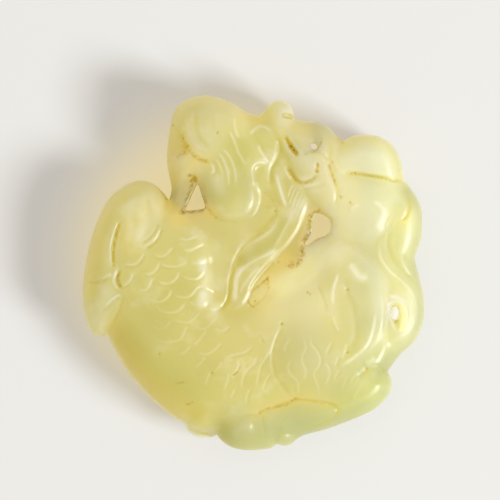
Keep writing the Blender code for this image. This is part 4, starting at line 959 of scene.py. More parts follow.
FRONT_MARKS = (
    # Brown round the openings, in the slots and at the notches
    streaks(
        Tint.STAIN,
        (0.75, 0.42, [(-10.6, 16.2), (-9.9, 16.0), (-9.6, 15.4)]),
        (0.8, 0.4, [(-10.2, 15.8), (-10.4, 14.0), (-10.9, 12.6), (-11.4, 11.2), (-11.8, 10.2)]),
        (0.6, 0.35, [(-12.2, 10.0), (-11.2, 10.1), (-10.0, 10.2), (-8.6, 10.5)]),
        (0.5, 0.35, [(-8.6, 10.5), (-7.9, 11.4), (-8.2, 12.6)]),
        (0.45, 0.35, [(-7.9, 10.8), (-7.0, 10.0), (-6.2, 9.2)]),
        (0.25, 0.2, [(-5.6, 8.8), (-4.4, 8.6), (-2.6, 8.4)]),
        (0.6, 0.4, [(11.1, 10.3), (10.3, 9.9), (9.6, 9.2), (9.5, 7.8), (9.5, 6.4), (8.9, 5.3)]),
        (0.55, 0.3, [(11.1, 10.3), (10.3, 9.9), (9.9, 9.2), (9.9, 7.8), (9.7, 6.4), (8.8, 5.0)]),
        (0.42, 0.7, [(10.0, 9.6), (9.6, 8.2), (9.4, 6.6), (8.8, 5.4)]),
        (0.75, 0.32, [(8.5, 5.0), (8.4, 3.8), (8.4, 2.8), (8.0, 1.8), (7.0, 1.0), (6.2, 1.1)]),
        (0.3, 0.9, [(8.0, 3.4), (7.4, 1.8), (6.2, 1.4)]),
        (0.1, 1.2, [(6.4, 5.4), (5.4, 3.4), (4.4, 1.4)]),
        (0.3, 0.25, [(11.2, 10.2), (12.6, 9.7), (13.4, 9.0), (13.1, 7.6)]),
        (0.4, 0.25, [(13.2, 6.4), (11.8, 5.9), (10.6, 5.3)]),
        (0.55, 0.5, [(5.5, 22.8), (6.2, 21.8), (7.4, 19.8)]),
        (1.0, 0.25, [(6.3, 21.2), (7.4, 19.8)]),
        (0.85, 0.5, [(5.4, 26.4), (6.4, 26.3)]),
        (0.45, 0.32, [(-22.4, 8.3), (-23.0, 6.0), (-23.5, 3.4), (-23.4, 1.2)]),
        (0.35, 0.7, [(-11.8, 23.2), (-11.4, 21.6), (-11.0, 20.6)]),
        (0.4, 0.4, [(-12.6, 19.4), (-11.8, 20.0), (-10.8, 20.2)]),
        (0.5, 0.22, [(2.6, -0.9), (1.4, -2.0), (0.0, -3.2), (-0.7, -4.4), (-0.7, -5.3), (0.0, -5.8)]),
        (0.3, 0.22, [(0.0, -5.8), (1.0, -5.2), (2.0, -4.2), (2.8, -2.6)]),
        (0.35, 0.5, [(2.4, -1.2), (2.4, -2.2)]),
        (0.55, 0.22, [(1.0, -23.7), (2.4, -23.0), (3.8, -22.7), (5.4, -22.5), (6.4, -21.8), (7.2, -21.3)]),
        (0.4, 0.22, [(7.2, -21.3), (9.4, -21.6), (12.0, -22.2), (13.8, -22.4), (14.4, -23.2), (13.8, -24.4),
                     (12.2, -25.1)]),
        (0.3, 0.25, [(1.3, 13.4), (2.4, 13.3), (3.5, 11.8), (4.1, 10.1), (3.5, 8.0), (2.4, 7.0),
                     (0.8, 6.1)]),
        (0.22, 0.5, [(1.3, 11.2), (2.8, 11.0)]),
        (0.3, 0.3, [(25.7, 16.8), (25.4, 15.8)]),
        (0.5, 0.25, [(11.6, 22.5), (11.3, 21.4), (10.4, 20.3)]),
        (0.5, 0.3, [(14.5, 22.6), (15.3, 21.9)]),
        (0.55, 0.25, [(-15.4, 13.8), (-14.9, 12.9), (-14.4, 12.0)]),
        (0.15, 0.35, [(24.8, -5.6), (25.9, -6.4)]),
        (0.15, 0.35, [(23.6, -8.2), (24.4, -9.6)]),
        (0.2, 0.5, [(13.4, 18.6), (14.0, 17.0)]))
    # Deep gold where the stone's old skin was left, and warm where it is thin: a painted glow of light
    # through the stone, also laid on the jaw and rims that lie in shade
    + streaks(
        Tint.GOLD,
        (0.9, 0.7, [(10.9, 10.2), (9.9, 9.0), (9.7, 6.6), (8.8, 5.0)]),
        (1.0, 2.0, [(-13.6, 27.0), (-14.4, 22.0), (-14.2, 17.0), (-13.4, 12.6)]),
        (0.45, 3.0, [(-12.0, 25.0), (-7.0, 27.4), (-3.0, 26.4)]),
        (0.35, 2.4, [(-16.0, 11.0), (-20.6, 9.0), (-21.2, 5.4)]),
        (0.8, 1.7, [(-12.6, 28.2), (-8.0, 29.9), (-3.0, 28.3), (1.0, 26.4)]),
        (0.45, 1.8, [(-11.4, 22.6), (-10.2, 19.4), (-8.4, 18.8)]),
        (1.0, 0.8, [(-10.4, 15.6), (-11.1, 12.8), (-11.6, 11.2)]),
        (0.85, 1.6, [(-10.6, 18.6), (-11.4, 15.8), (-12.2, 12.0), (-11.0, 9.8), (-7.6, 10.0)]),
        (0.6, 2.4, [(-27.8, 3.6), (-26.0, 9.6), (-22.6, 14.0), (-18.4, 15.0), (-15.0, 13.0)]),
        (0.6, 1.8, [(-28.4, 1.0), (-28.6, -3.0)]),
        (0.35, 3.4, [(-24.6, -10.0), (-21.0, -16.0), (-15.0, -22.0), (-7.6, -26.0)]),
        (0.35, 1.6, [(8.8, 8.6), (7.2, 5.8), (6.4, 3.6), (6.0, 2.0)]),
        (0.45, 1.2, [(5.4, 2.0), (3.6, 0.2), (2.2, -1.6)]),
        (0.3, 2.4, [(2.4, -4.6), (4.4, -2.4), (6.4, -0.6)]),
        (0.5, 1.4, [(8.2, 25.4), (11.4, 25.0), (13.6, 23.4), (15.0, 22.0)]),
        (0.55, 1.6, [(17.0, 23.0), (20.0, 23.0), (23.4, 21.2), (25.2, 18.0), (25.4, 16.0)]),
        (0.5, 1.2, [(2.6, 28.0), (4.6, 29.0), (6.4, 28.2)]),
        (0.35, 1.5, [(0.8, -23.8), (7.0, -21.6), (13.8, -22.8), (12.0, -25.2)]),
        (0.15, 1.4, [(27.0, 13.4), (28.4, 10.4), (28.2, 6.0), (27.4, 2.4)]),
        (0.4, 1.2, [(26.4, 12.6), (26.2, 10.0), (25.2, 8.4)]),
        (0.5, 3.0, [(6.0, 25.0), (10.0, 23.6), (13.0, 21.4), (14.0, 17.4), (14.4, 12.0)]),
        (0.25, 2.0, [(8.0, 24.2), (11.6, 22.2), (13.4, 19.0)]),
        (0.95, 1.8, [(-13.6, 15.4), (-13.3, 12.4), (-12.6, 9.4)]),
        (0.8, 0.9, [(9.8, 9.6), (9.4, 7.2), (8.8, 5.2)]),
        (0.7, 2.0, [(11.0, 23.6), (12.8, 22.6), (14.2, 21.4)]),
        (0.9, 0.8, [(-10.2, 15.2), (-11.5, 10.4)]))
    # Deeper green where the stone is thick, and painted shade in the low ground beside the centre opening
    # and along the bottom rim
    + streaks(
        Tint.OLIVE_AND_SHADE,
        (0.35, 5.0, [(-19.0, -7.0), (-14.0, -13.0), (-8.0, -18.0)]),
        (0.5, 1.4, [(5.4, 3.4), (4.4, 1.4), (3.4, 0.4)]),
        (0.95, 1.7, [(8.8, 8.4), (7.2, 5.8), (6.4, 3.4), (6.0, 2.2)]),
        (0.8, 3.4, [(-21.4, -12.0), (-17.0, -17.2), (-11.4, -21.8), (-6.6, -25.6)]),
        (0.2, 2.2, [(-5.6, 6.4), (-5.4, 2.0), (-5.8, -3.0)]),
        (0.15, 2.0, [(-1.4, 7.2), (1.4, 4.4), (-1.8, 2.4)]),
        (0.3, 2.6, [(-16.0, -8.0), (-12.0, -3.0), (-8.0, -9.0)]),
        (0.65, 1.4, [(-5.0, -28.8), (-1.6, -29.8), (2.0, -29.6), (4.2, -28.8), (6.4, -28.8)]),
        (0.85, 2.4, [(12.0, -25.6), (18.0, -23.4), (21.6, -20.8), (22.4, -18.2)]),
        (0.3, 3.6, [(7.0, -11.0), (7.0, -17.0), (12.0, -20.0)]),
        (0.5, 2.6, [(-1.6, 21.0), (-1.6, 15.0), (-5.4, 12.6)]),
        (0.5, 1.2, [(5.2, 8.4), (3.6, 5.4), (1.0, 3.6), (-1.8, 2.0)]),
        (0.35, 1.4, [(1.0, 0.4), (-0.6, -1.8), (-1.6, -4.4)]),
        (0.3, 3.0, [(-11.6, 3.4), (-10.4, 0.6)]),
        (0.25, 2.0, [(18.6, -3.0), (18.8, -8.0), (17.6, -12.0)]),
        (0.25, 2.0, [(22.6, -9.0), (22.0, -14.0)]))
    # Cooler green over the folded leg, the right side and the paw
    + streaks(
        Tint.GREEN,
        (0.7, 5.0, [(8.0, -6.0), (9.0, -13.0), (14.0, -18.0)]),
        (0.85, 4.0, [(19.6, 18.0), (20.0, 8.0), (20.0, -2.0), (20.0, -20.0)]),
        (0.5, 3.0, [(-2.0, -25.0), (4.0, -26.0), (10.0, -24.0)]))
    # Rosy cream on the thin skin round the edge and in the tail scroll
    + streaks(
        Tint.BLUSH,
        (0.8, 2.2, [(6.0, 26.0), (10.0, 24.6), (13.4, 22.6), (14.6, 19.0), (14.2, 15.4)]),
        (0.6, 1.6, [(10.2, 23.0), (12.0, 21.0)]),
        (0.8, 1.8, [(26.0, 12.6), (28.0, 8.6), (27.4, 3.0), (28.4, -3.0), (27.6, -9.6), (25.0, -13.0)]),
        (0.6, 2.6, [(-4.0, 28.4), (-10.0, 28.4), (-13.0, 25.0), (-13.2, 19.0), (-12.6, 13.0)]),
        (0.9, 1.8, [(24.4, -5.4), (25.2, -9.4)]))
    # Milky where it is thin, and painted highlight where it faces the light
    + streaks(
        Tint.MILK_AND_HIGHLIGHT,
        (0.95, 1.3, [(24.9, -6.2), (25.0, -9.0)]),
        (0.2, 3.0, [(24.8, 7.0), (24.6, 0.0), (25.6, -6.0), (24.2, -11.0)]),
        (0.35, 2.2, [(24.6, 14.0), (25.4, 6.0)]),
        (0.35, 2.6, [(20.4, -6.0), (20.0, -16.0)]),
        (0.5, 1.6, [(17.6, 22.9), (20.0, 23.0), (22.4, 22.2)]),
        (0.3, 3.6, [(18.0, 12.0), (24.0, 11.0)]),
        (0.4, 3.0, [(17.6, 19.6), (22.6, 19.0)]),
        (0.5, 1.2, [(-18.8, 5.6), (-17.4, 7.8), (-16.4, 10.8)]),
        (0.15, 2.4, [(-19.6, 12.4), (-20.4, 9.0)]),
        (0.5, 1.6, [(-24.8, -3.6), (-26.4, -8.0)]),
        (0.5, 1.8, [(8.6, 18.8), (10.2, 17.8), (11.6, 18.6)]),
        (0.25, 2.4, [(4.4, 26.6), (8.4, 22.8), (8.6, 20.2)]),
        (0.5, 3.0, [(14.8, 21.0), (14.8, 11.0), (14.0, 4.6), (11.0, 3.0)]),
        (0.8, 1.6, [(10.4, 2.6), (9.0, -0.4), (6.6, -1.6)]),
        # Painted highlights on the breast fold
        (0.35, 1.6, [(-7.0, -1.0), (-7.6, -4.6)]),
        (0.9, 0.8, [(-8.5, 1.6), (-8.5, 0.8)]),
        (1.0, 0.9, [(-8.4, -4.0), (-8.6, -5.2)]),
        (0.9, 0.7, [(-6.3, -6.4), (-5.8, -5.6)]),
        (0.7, 1.4, [(9.0, 15.0), (10.6, 14.4)]),
        (0.25, 1.6, [(-6.0, 3.6), (-5.6, 0.0), (-6.0, -3.0)]),
        (0.25, 1.4, [(-1.4, 6.6), (-0.6, 3.0)]),
        (0.6, 1.2, [(-5.9, 15.4), (-5.4, 13.6)]),
        (0.6, 0.7, [(-11.8, -24.4), (-9.6, -25.6)]),
        (0.35, 3.0, [(-6.4, 26.0), (-7.6, 21.6)]),
        (0.3, 1.2, [(8.6, 12.0), (7.0, 9.4)]),
        (0.3, 1.8, [(-12.6, 18.4), (-10.0, 17.6)]))
    # Painted light: clear pale yellow where light comes through the stone, also laid over places in shade
    + streaks(
        Tint.LIGHT,
        (0.3, 4.0, [(4.0, -6.0), (10.0, -5.4)]),
        (0.8, 1.8, [(10.8, 4.6), (9.8, 1.6), (7.6, -0.8), (4.8, -2.6)]),
        (0.5, 2.6, [(15.4, 19.6), (14.8, 18.0), (14.6, 11.0), (13.8, 4.0)]),
        (0.2, 1.6, [(-1.6, 27.8), (-6.0, 29.6), (-12.4, 28.4), (-14.4, 23.0), (-14.4, 17.0), (-13.6, 12.6)]),
        (0.2, 1.6, [(-15.0, 13.6), (-19.0, 15.4), (-23.0, 13.6), (-26.4, 8.8), (-28.4, 2.0), (-28.8, -5.0)]))
    # Denser colour and painted shade, dark along the bottom and the right rim, weaker in a few places at the
    # top
    + streaks(
        Tint.DENSE_AND_SHADE,
        (0.95, 4.0, [(9.0, -26.8), (17.0, -24.0), (21.6, -20.6), (22.2, -18.0)]),
        (0.78, 4.2, [(-4.4, -28.2), (1.0, -28.0), (7.0, -26.6)]),
        (0.4, 1.3, [(24.6, -10.4), (24.4, -11.6)]),
        (0.3, 2.6, [(-8.4, 27.0), (-5.0, 27.2)]),
        (0.3, 2.4, [(-17.6, 14.0), (-15.4, 14.0)]),
        (0.3, 1.8, [(-1.0, 15.0), (-0.4, 10.6)]),
        (0.85, 2.4, [(26.4, 13.4), (28.6, 9.4), (27.8, 2.4), (28.8, -5.0), (27.0, -11.6), (23.2, -15.6)]),
        (0.45, 1.8, [(24.4, 20.6), (25.2, 17.6)]),
        (0.3, 3.0, [(20.4, -9.0), (20.0, -14.0), (15.0, -19.6)]),
        (0.4, 2.0, [(25.0, 11.0), (24.6, 4.0), (26.0, -1.0)]))
)
BACK_MARKS = tuple(mark for mark in FRONT_MARKS if mark.tint is not Tint.STAIN) + streaks(
    Tint.STAIN,
    (0.5, 0.5, [(-23.4, 0.0), (-16.4, 6.6), (-15.2, 11.0)]),
    (0.4, 0.5, [(2.4, 22.0), (3.0, 17.0), (1.6, 12.0)]),
    (0.5, 0.6, [(10.2, 9.6), (9.8, 6.8), (8.6, 4.4)]),
    (0.5, 0.6, [(-12.0, 10.2), (-8.0, 10.6), (-9.4, 15.0), (-11.8, 11.0)]),
)


@dataclass(frozen=True)
class Noise:
    """A soft noise at a scale per metre, with the range of it that shows and how strongly."""

    scale: float
    detail: float
    low: float
    high: float
    top: float = 1.0


@dataclass(frozen=True)
class Jade:
    """Pale yellow-green nephrite with brown in its cuts and a waxy polish, and painted highlight, shade and
    glow in some of its colour zones.
    """

    body: Shade = (0.575, 0.525, 0.215)
    gold: Shade = (0.78, 0.58, 0.19)
    olive_and_shade: Shade = (0.42, 0.40, 0.105)
    milk_and_highlight: Shade = (0.75, 0.70, 0.50)
    green: Shade = (0.55, 0.54, 0.36)
    blush: Shade = (0.72, 0.61, 0.42)
    dense_and_shade: Shade = (0.31, 0.32, 0.14)
    light: Shade = (0.92, 0.81, 0.48)
    stain: Shade = (0.43, 0.30, 0.02)
    grime: Shade = (0.11, 0.08, 0.01)
    roughness: float = 0.35
    shine: float = 0.36
    refraction: float = 1.61
    depth: float = 0.05
    depth_by_colour: Shade = (1.0, 0.85, 0.4)
    dull_stain: float = 0.12
    clouds: Noise = Noise(90.0, 3.0, 0.45, 0.75, 0.3)
    veins: Noise = Noise(260.0, 5.0, 0.5, 0.72, 0.35)
    patches: Noise = Noise(1500.0, 4.0, 0.3, 0.62)
    grains: Noise = Noise(2600.0, 2.0, 0.55, 0.66)
    unevenness: Noise = Noise(700.0, 3.0, 0.3, 0.8, 0.12)
    stained: tuple[float, float] = (0.03, 0.75)
    grimy: tuple[float, float] = (0.45, 1.0)

    def make(self) -> bpy.types.Material:
        """Build the material.

        Returns:
            The jade, coloured from the vertex attributes of the piece.
        """
        finish = bpy.data.materials.new("pale_jade")
        finish.use_nodes = True
        tree = finish.node_tree
        shader = tree.nodes["Principled BSDF"]
        place = tree.nodes.new("ShaderNodeTexCoord").outputs["Object"]
        colour = self.cloud(tree, place)
        # Several zones carry painted light: highlights in the milky zone, shade in the olive and dense
        # zones, a glow through the stone in the light and gold zones
        zones = (
            (Tint.GREEN, self.green), (Tint.BLUSH, self.blush), (Tint.MILK_AND_HIGHLIGHT, self.milk_and_highlight),
            (Tint.OLIVE_AND_SHADE, self.olive_and_shade), (Tint.GOLD, self.gold), (Tint.DENSE_AND_SHADE, self.dense_and_shade),
            (Tint.LIGHT, self.light))
        for tint, shade in zones:
            colour = self.layer(tree, colour, shade, self.attribute(tree, tint.value))
        colour = self.dirt(tree, place, colour)
        tree.links.new(colour, shader.inputs["Base Color"])
        tree.links.new(self.polish(tree, place), shader.inputs["Roughness"])
        shader.inputs["IOR"].default_value = self.refraction
        shader.inputs["Specular IOR Level"].default_value = self.shine
        shader.inputs["Subsurface Weight"].default_value = 1.0
        shader.inputs["Subsurface Radius"].default_value = self.depth_by_colour
        shader.inputs["Subsurface Scale"].default_value = self.depth
        return finish

    @staticmethod
    def attribute(tree: Tree, name: str) -> Socket:
        """Read one of the piece's own attributes.

        Args:
            tree: the material's nodes.
            name: the attribute's name.

        Returns:
            Its value.
        """
        node = tree.nodes.new("ShaderNodeAttribute")
        node.attribute_name = name
        return node.outputs["Fac"]

    @staticmethod
    def ramp(tree: Tree, value: Socket, low: float, high: float, top: float = 1.0) -> Socket:
        """Spread a range of a value from nought to a top.

        Args:
            tree: the material's nodes.
            value: what is spread.
            low: the value that gives nought.
            high: the value that gives the top.
            top: the most that is given.

        Returns:
            The value after its spreading.
        """
        node = tree.nodes.new("ShaderNodeMapRange")
        node.interpolation_type = "SMOOTHSTEP"
        node.inputs["From Min"].default_value = low
        node.inputs["From Max"].default_value = high
        node.inputs["To Max"].default_value = top
        tree.links.new(value, node.inputs["Value"])
        return node.outputs["Result"]

    def pattern(self, tree: Tree, place: Socket, noise: Noise) -> Socket:
        """Lay a noise over the piece.

        Args:
            tree: the material's nodes.
            place: the place on the object.
            noise: the noise and the range of it that shows.

        Returns:
            How strongly it shows at each place.
        """
        node = tree.nodes.new("ShaderNodeTexNoise")
        node.inputs["Scale"].default_value = noise.scale
        node.inputs["Detail"].default_value = noise.detail
        tree.links.new(place, node.inputs["Vector"])
        return self.ramp(tree, node.outputs["Fac"], noise.low, noise.high, noise.top)

    @staticmethod
    def layer(tree: Tree, under: Socket, shade: Shade, weight: Socket) -> Socket:
        """Lay a shade over a colour by a weight.

        Args:
            tree: the material's nodes.
            under: the colour below.
            shade: the shade laid over it.
            weight: how much of the shade shows.

        Returns:
            The colour of both.
        """
        node = tree.nodes.new("ShaderNodeMix")
        node.data_type = "RGBA"
        node.inputs["B"].default_value = (*shade, 1.0)
        tree.links.new(under, node.inputs["A"])
        tree.links.new(weight, node.inputs["Factor"])
        return node.outputs["Result"]

    @staticmethod
    def product(tree: Tree, a: Socket, b: Socket) -> Socket:
        """Multiply two values.

        Args:
            tree: the material's nodes.
            a: one value.
            b: the other.

        Returns:
            Their product.
        """
        node = tree.nodes.new("ShaderNodeMath")
        node.operation = "MULTIPLY"
        tree.links.new(a, node.inputs[0])
        tree.links.new(b, node.inputs[1])
        return node.outputs["Value"]

    def cloud(self, tree: Tree, place: Socket) -> Socket:
        """The stone's own colour with its faint clouding.

        Args:
            tree: the material's nodes.
            place: the place on the object.

        Returns:
            The colour.
        """
        base = tree.nodes.new("ShaderNodeMix")
        base.data_type = "RGBA"
        base.inputs["A"].default_value = (*self.body, 1.0)
        base.inputs["B"].default_value = (*self.olive_and_shade, 1.0)
        tree.links.new(self.pattern(tree, place, self.clouds), base.inputs["Factor"])
        veins = self.pattern(tree, place, self.veins)
        return self.layer(tree, base.outputs["Result"], self.milk_and_highlight, veins)

    def dirt(self, tree: Tree, place: Socket, colour: Socket) -> Socket:
        """Brown stain in the cuts, broken up, with dark grains in its middle.

        Args:
            tree: the material's nodes.
            place: the place on the object.
            colour: the clean stone's colour.

        Returns:
            The colour with its stain.
        """
        stain = self.attribute(tree, Tint.STAIN.value)
        broken = self.pattern(tree, place, self.patches)
        weight = self.product(tree, self.ramp(tree, stain, *self.stained), broken)
        colour = self.layer(tree, colour, self.stain, weight)
        grain = self.pattern(tree, place, self.grains)
        core = self.product(tree, self.ramp(tree, stain, *self.grimy), grain)
        return self.layer(tree, colour, self.grime, core)

    def polish(self, tree: Tree, place: Socket) -> Socket:
        """Roughness: an even polish, dull where it is stained.

        Args:
            tree: the material's nodes.
            place: the place on the object.

        Returns:
            The roughness.
        """
        uneven = self.pattern(tree, place, self.unevenness)
        node = tree.nodes.new("ShaderNodeMath")
        node.operation = "ADD"
        node.inputs[1].default_value = self.roughness
        tree.links.new(uneven, node.inputs[0])
        dull = tree.nodes.new("ShaderNodeMath")
        dull.operation = "MULTIPLY_ADD"
        dull.inputs[1].default_value = self.dull_stain
        tree.links.new(self.attribute(tree, Tint.STAIN.value), dull.inputs[0])
        tree.links.new(node.outputs["Value"], dull.inputs[2])
        return dull.outputs["Value"]


@dataclass
class Carving:
    """The pendant itself: one piece, carved on both sides and pierced."""

    outline: Outline = Outline()
    map_pitch: float = 0.14
    front_pitch: float = 0.195
    back_pitch: float = 0.42
    loop_step: float = 0.3
    rim_half: float = 0.8
    rim_round: float = 3.2
    flank_round: float = 6.2
    opening_round: float = 0.05
    flattening: float = 0.58
    rim_glow: float = 0.45
    rim_glow_reach: float = 0.3
    top_level: float = 7.283
    rest_level: float = 7.283
    rim_rings: tuple[float, ...] = (0.05, 0.17, 0.36, 0.62, 0.92)
    ring_gap: float = 0.9
    grid_from_rim: float = 1.1
    opening_gap: float = 0.45
    front_base: float = 5.0
    back_base: float = 5.2
    back_coarser: int = 2
    rubs_after_forms: int = 14
    rubs_after_bands: int = 6
    rubs_at_last: int = 1
    rubs_of_back: int = 4
    lie_reach: float = 2.4
    flank_way: Place = (0.65, 0.75)
    flank_from: float = 12.0
    flank_over: float = 9.0
    rubs_to_lie: int = 10
    dirt_from: float = 0.15
    dirt_most: float = 0.3
    dirt_share: float = 0.3
    proud_from: float = 0.01
    proud_most: float = 0.2
    proud_share: float = 2.0

    def front(self) -> Relief:
        """Carve the front.

        Returns:
            Its height map.
        """
        side = Relief(self.front_base, self.map_pitch)
        for form in FRONT_FORMS:
            form.carve(side)
        side.soften(self.rubs_after_forms)
        for band in FRONT_BANDS:
            band.carve(side)
        side.soften(self.rubs_after_bands)
        side.flatten(self.flattening, self.lie_reach)
        for step in FRONT_POCKETS + FRONT_CUTS + (SHOULDER_SCALES, BODY_SCALES, HAUNCH_SCALES):
            step.carve(side)
        for step in FRONT_RIDGES + (FRONT_PITS,):
            step.carve(side)
        side.soften(self.rubs_at_last)
        return side

    def back(self) -> Relief:
        """Carve the back.

        Returns:
            Its height map.
        """
        side = Relief(self.back_base, self.map_pitch * self.back_coarser)
        for step in BACK_FORMS + BACK_LINES:
            step.carve(side)
        side.soften(self.rubs_of_back)
        for hair in BACK_HAIR:
            hair.carve(side)
        return side

    def points_inside(self, pitch: float, rim: np.ndarray, openings: list[np.ndarray]) -> np.ndarray:
        """Spread points over the piece, closer together where the rim rolls away.

        Args:
            pitch: spacing of the even points.
            rim: loop of the outline.
            openings: loops of the openings.

        Returns:
            The places of the points.
        """
        reach = Relief.REACH
        row_gap = pitch * math.sqrt(3) / 2
        x, y = np.meshgrid(np.arange(-reach, reach, pitch), np.arange(-reach, reach, row_gap))
        x[1::2] += pitch / 2
        spreads = [(np.column_stack([x.ravel(), y.ravel()]), self.grid_from_rim)]
        along = np.roll(rim, -1, axis=0) - np.roll(rim, 1, axis=0)
        inward = np.column_stack([along[:, 1], -along[:, 0]]) / np.hypot(*along.T)[:, None]
        for k, inset in enumerate(self.rim_rings):
            every_other = slice(k % 2, None, 2)
            spreads.append((rim[every_other] + inward[every_other] * inset,
                            inset * self.ring_gap))
        kept = []
        for points, least in spreads:
            found = measure(rim, points[:, 0], points[:, 1], True)
            good = found.inside & (found.away > least)
            points = points[good]
            for opening in openings:
                gap = measure(opening, points[:, 0], points[:, 1], True)
                points = points[~gap.inside & (gap.away > pitch * self.opening_gap)]
            kept.append(points)
        return np.concatenate(kept)

    @staticmethod
    def triangles_between(loops: list[np.ndarray], points: np.ndarray) -> tuple[np.ndarray, np.ndarray]:
        """Join points and loops with triangles that keep every loop as an edge.

        Args:
            loops: the outline, then the openings.
            points: the points between them.

        Returns:
            All the places, loops first, and the triangles between them.
        """
        places = np.concatenate(loops + [points])
        edges = []
        first = 0
        for loop in loops:
            count = len(loop)
            edges += [(first + i, first + (i + 1) % count) for i in range(count)]
            first += count
        found = delaunay_2d_cdt([Vector(p) for p in places], edges, [], 0, JOIN_WITHIN)
        faces = np.array([f for f in found[2] if len(f) == 3])
        middle = places[faces].mean(axis=1)
        good = measure(loops[0], middle[:, 0], middle[:, 1], True).inside
        for opening in loops[1:]:
            good &= ~measure(opening, middle[:, 0], middle[:, 1], True).inside
        return places, faces[good]

    def rolled(self, side: Relief, places: np.ndarray, away: np.ndarray,
               openings: list[np.ndarray]) -> np.ndarray:
        """Height of one side with its rim and its openings rounded over.

        Args:
            side: the carved height map.
            places: where to read it.
            away: distance of each place from the rim.
            openings: loops of the openings.

        Returns:
            The height at each place, away from the parting line of the rim.
        """
        x, y = places[:, 0], places[:, 1]
        level = side.read(side.z, x, y)
        toward_flank = -(self.flank_way[0] * x + self.flank_way[1] * y)
        low = ease((toward_flank - self.flank_from) / self.flank_over)
        reach = self.rim_round + (self.flank_round - self.rim_round) * low
        foot = np.minimum(level, self.rim_half)
        level = foot + (level - foot) * quarter_round(away / reach)
        for opening in openings:
            gap = measure(opening, x, y, True).away
            level = level - self.opening_round * (1.0 - quarter_round(gap / self.opening_round))
        return level

    def tints(self, side: Relief, places: np.ndarray, away: np.ndarray,
              marks: tuple[Mark, ...]) -> dict[Tint, np.ndarray]:
        """Strength of each colour zone at each place of one side.

        Args:
            side: the carved height map, whose hollows gather a little dirt.
            places: where to read it.
            away: distance of each place from the rim, along which a painted glow of light is laid.
            marks: the streaks and spots of that side.

        Returns:
            One set of values for each zone.
        """
        x, y = places[:, 0], places[:, 1]
        made = {tint: np.zeros(len(places)) for tint in Tint}
        for mark in marks:
            made[mark.tint] = 1.0 - (1.0 - made[mark.tint]) * (1.0 - mark.weight(x, y))
        for tint in Tint:
            made[tint] = np.maximum(made[tint], side.read(side.shade[tint], x, y))
        proud = side.read(side.z - side.blurred(side.z, self.rubs_to_lie), x, y)
        made[Tint.STAIN] += np.clip(-proud - self.dirt_from, 0.0, self.dirt_most) * self.dirt_share
        # Raised places painted paler: partly pale wear, partly painted highlight
        made[Tint.MILK_AND_HIGHLIGHT] += np.clip(proud - self.proud_from, 0.0, self.proud_most) * self.proud_share
        # Painted glow of light through the thin rim, kept off the darkest zone
        clear = self.rim_glow * (1.0 - made[Tint.DENSE_AND_SHADE]) * bell(away / self.rim_glow_reach)
        made[Tint.LIGHT] = np.maximum(made[Tint.LIGHT], clear)
        return made

    def add_side(self, body: bmesh.types.BMesh, loops: list[np.ndarray], which: Side) -> list:
        """Add one side of the piece to the body.

        Args:
            body: the mesh being made.
            loops: the outline, then the openings.
            which: front or back.

        Returns:
            The side's vertices, those of the loops first.
        """
        front = which is Side.FRONT
        side = self.front() if front else self.back()
        pitch = self.front_pitch if front else self.back_pitch
        places, faces = self.triangles_between(loops, self.points_inside(pitch, loops[0], loops[1:]))
        away = measure(loops[0], places[:, 0], places[:, 1], True).away
        level = self.rolled(side, places, away, loops[1:])
        level = np.minimum(level, self.top_level) if front else -np.minimum(level, self.rest_level)
        tints = self.tints(side, places, away, FRONT_MARKS if front else BACK_MARKS)
        layers = {tint: body.verts.layers.float[tint.value] for tint in Tint}
        made = [body.verts.new((x, y, z)) for (x, y), z in zip(places, level)]
        for tint, values in tints.items():
            for vertex, value in zip(made, values):
                vertex[layers[tint]] = float(min(1.0, value))
        for a, b, c in faces:
            body.faces.new((made[a], made[b], made[c]) if front else (made[c], made[b], made[a]))
        return made

    def make(self) -> bpy.types.Object:
        """Build the closed piece and fit it to the frame.

        Returns:
            The pendant's object, at the origin with its place in its mesh.
        """
        loops = [self.outline.rim(self.loop_step)] + self.outline.openings(self.loop_step)
        body = bmesh.new()
        for tint in Tint:
            body.verts.layers.float.new(tint.value)
        front = self.add_side(body, loops, Side.FRONT)
        back = self.add_side(body, loops, Side.BACK)
        first = 0
        for loop in loops:
            count = len(loop)
            for i in range(count):
                j = (i + 1) % count
                body.faces.new((front[first + j], front[first + i], back[first + i], back[first + j]))
                sawn_edge = body.edges.get((front[first + i], front[first + j]))
                sawn_edge.smooth = loop is loops[0]
            first += count
        bmesh.ops.recalc_face_normals(body, faces=body.faces)
        mesh = bpy.data.meshes.new("jade_carving")
        body.to_mesh(mesh)
        body.free()
        self.fit(mesh)
        piece = bpy.data.objects.new("jade_carving", mesh)
        bpy.context.collection.objects.link(piece)
        mesh.polygons.foreach_set("use_smooth", [True] * len(mesh.polygons))
        return piece

    @staticmethod
    def fit(mesh: bpy.types.Mesh) -> None:
        """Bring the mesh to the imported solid's box exactly.

        Args:
            mesh: the pendant's mesh, in drawing units.
        """
        places = np.zeros(len(mesh.vertices) * 3)
        mesh.vertices.foreach_get("co", places)
        places = places.reshape(-1, 3)
        low, high = (np.array(corner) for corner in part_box(NODE))
        size = places.max(axis=0) - places.min(axis=0)
        places = low + (places - places.min(axis=0)) / size * (high - low)
        mesh.vertices.foreach_set("co", places.ravel())
        mesh.update()

    def dress(self, piece: bpy.types.Object, finish: Jade) -> None:
        """Give the piece its finish and its place in the frame.

        Args:
            piece: the pendant's object.
            finish: the jade it is made of.
        """
        piece.data.materials.append(finish.make())
        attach(piece, "root")
        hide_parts(NODE)


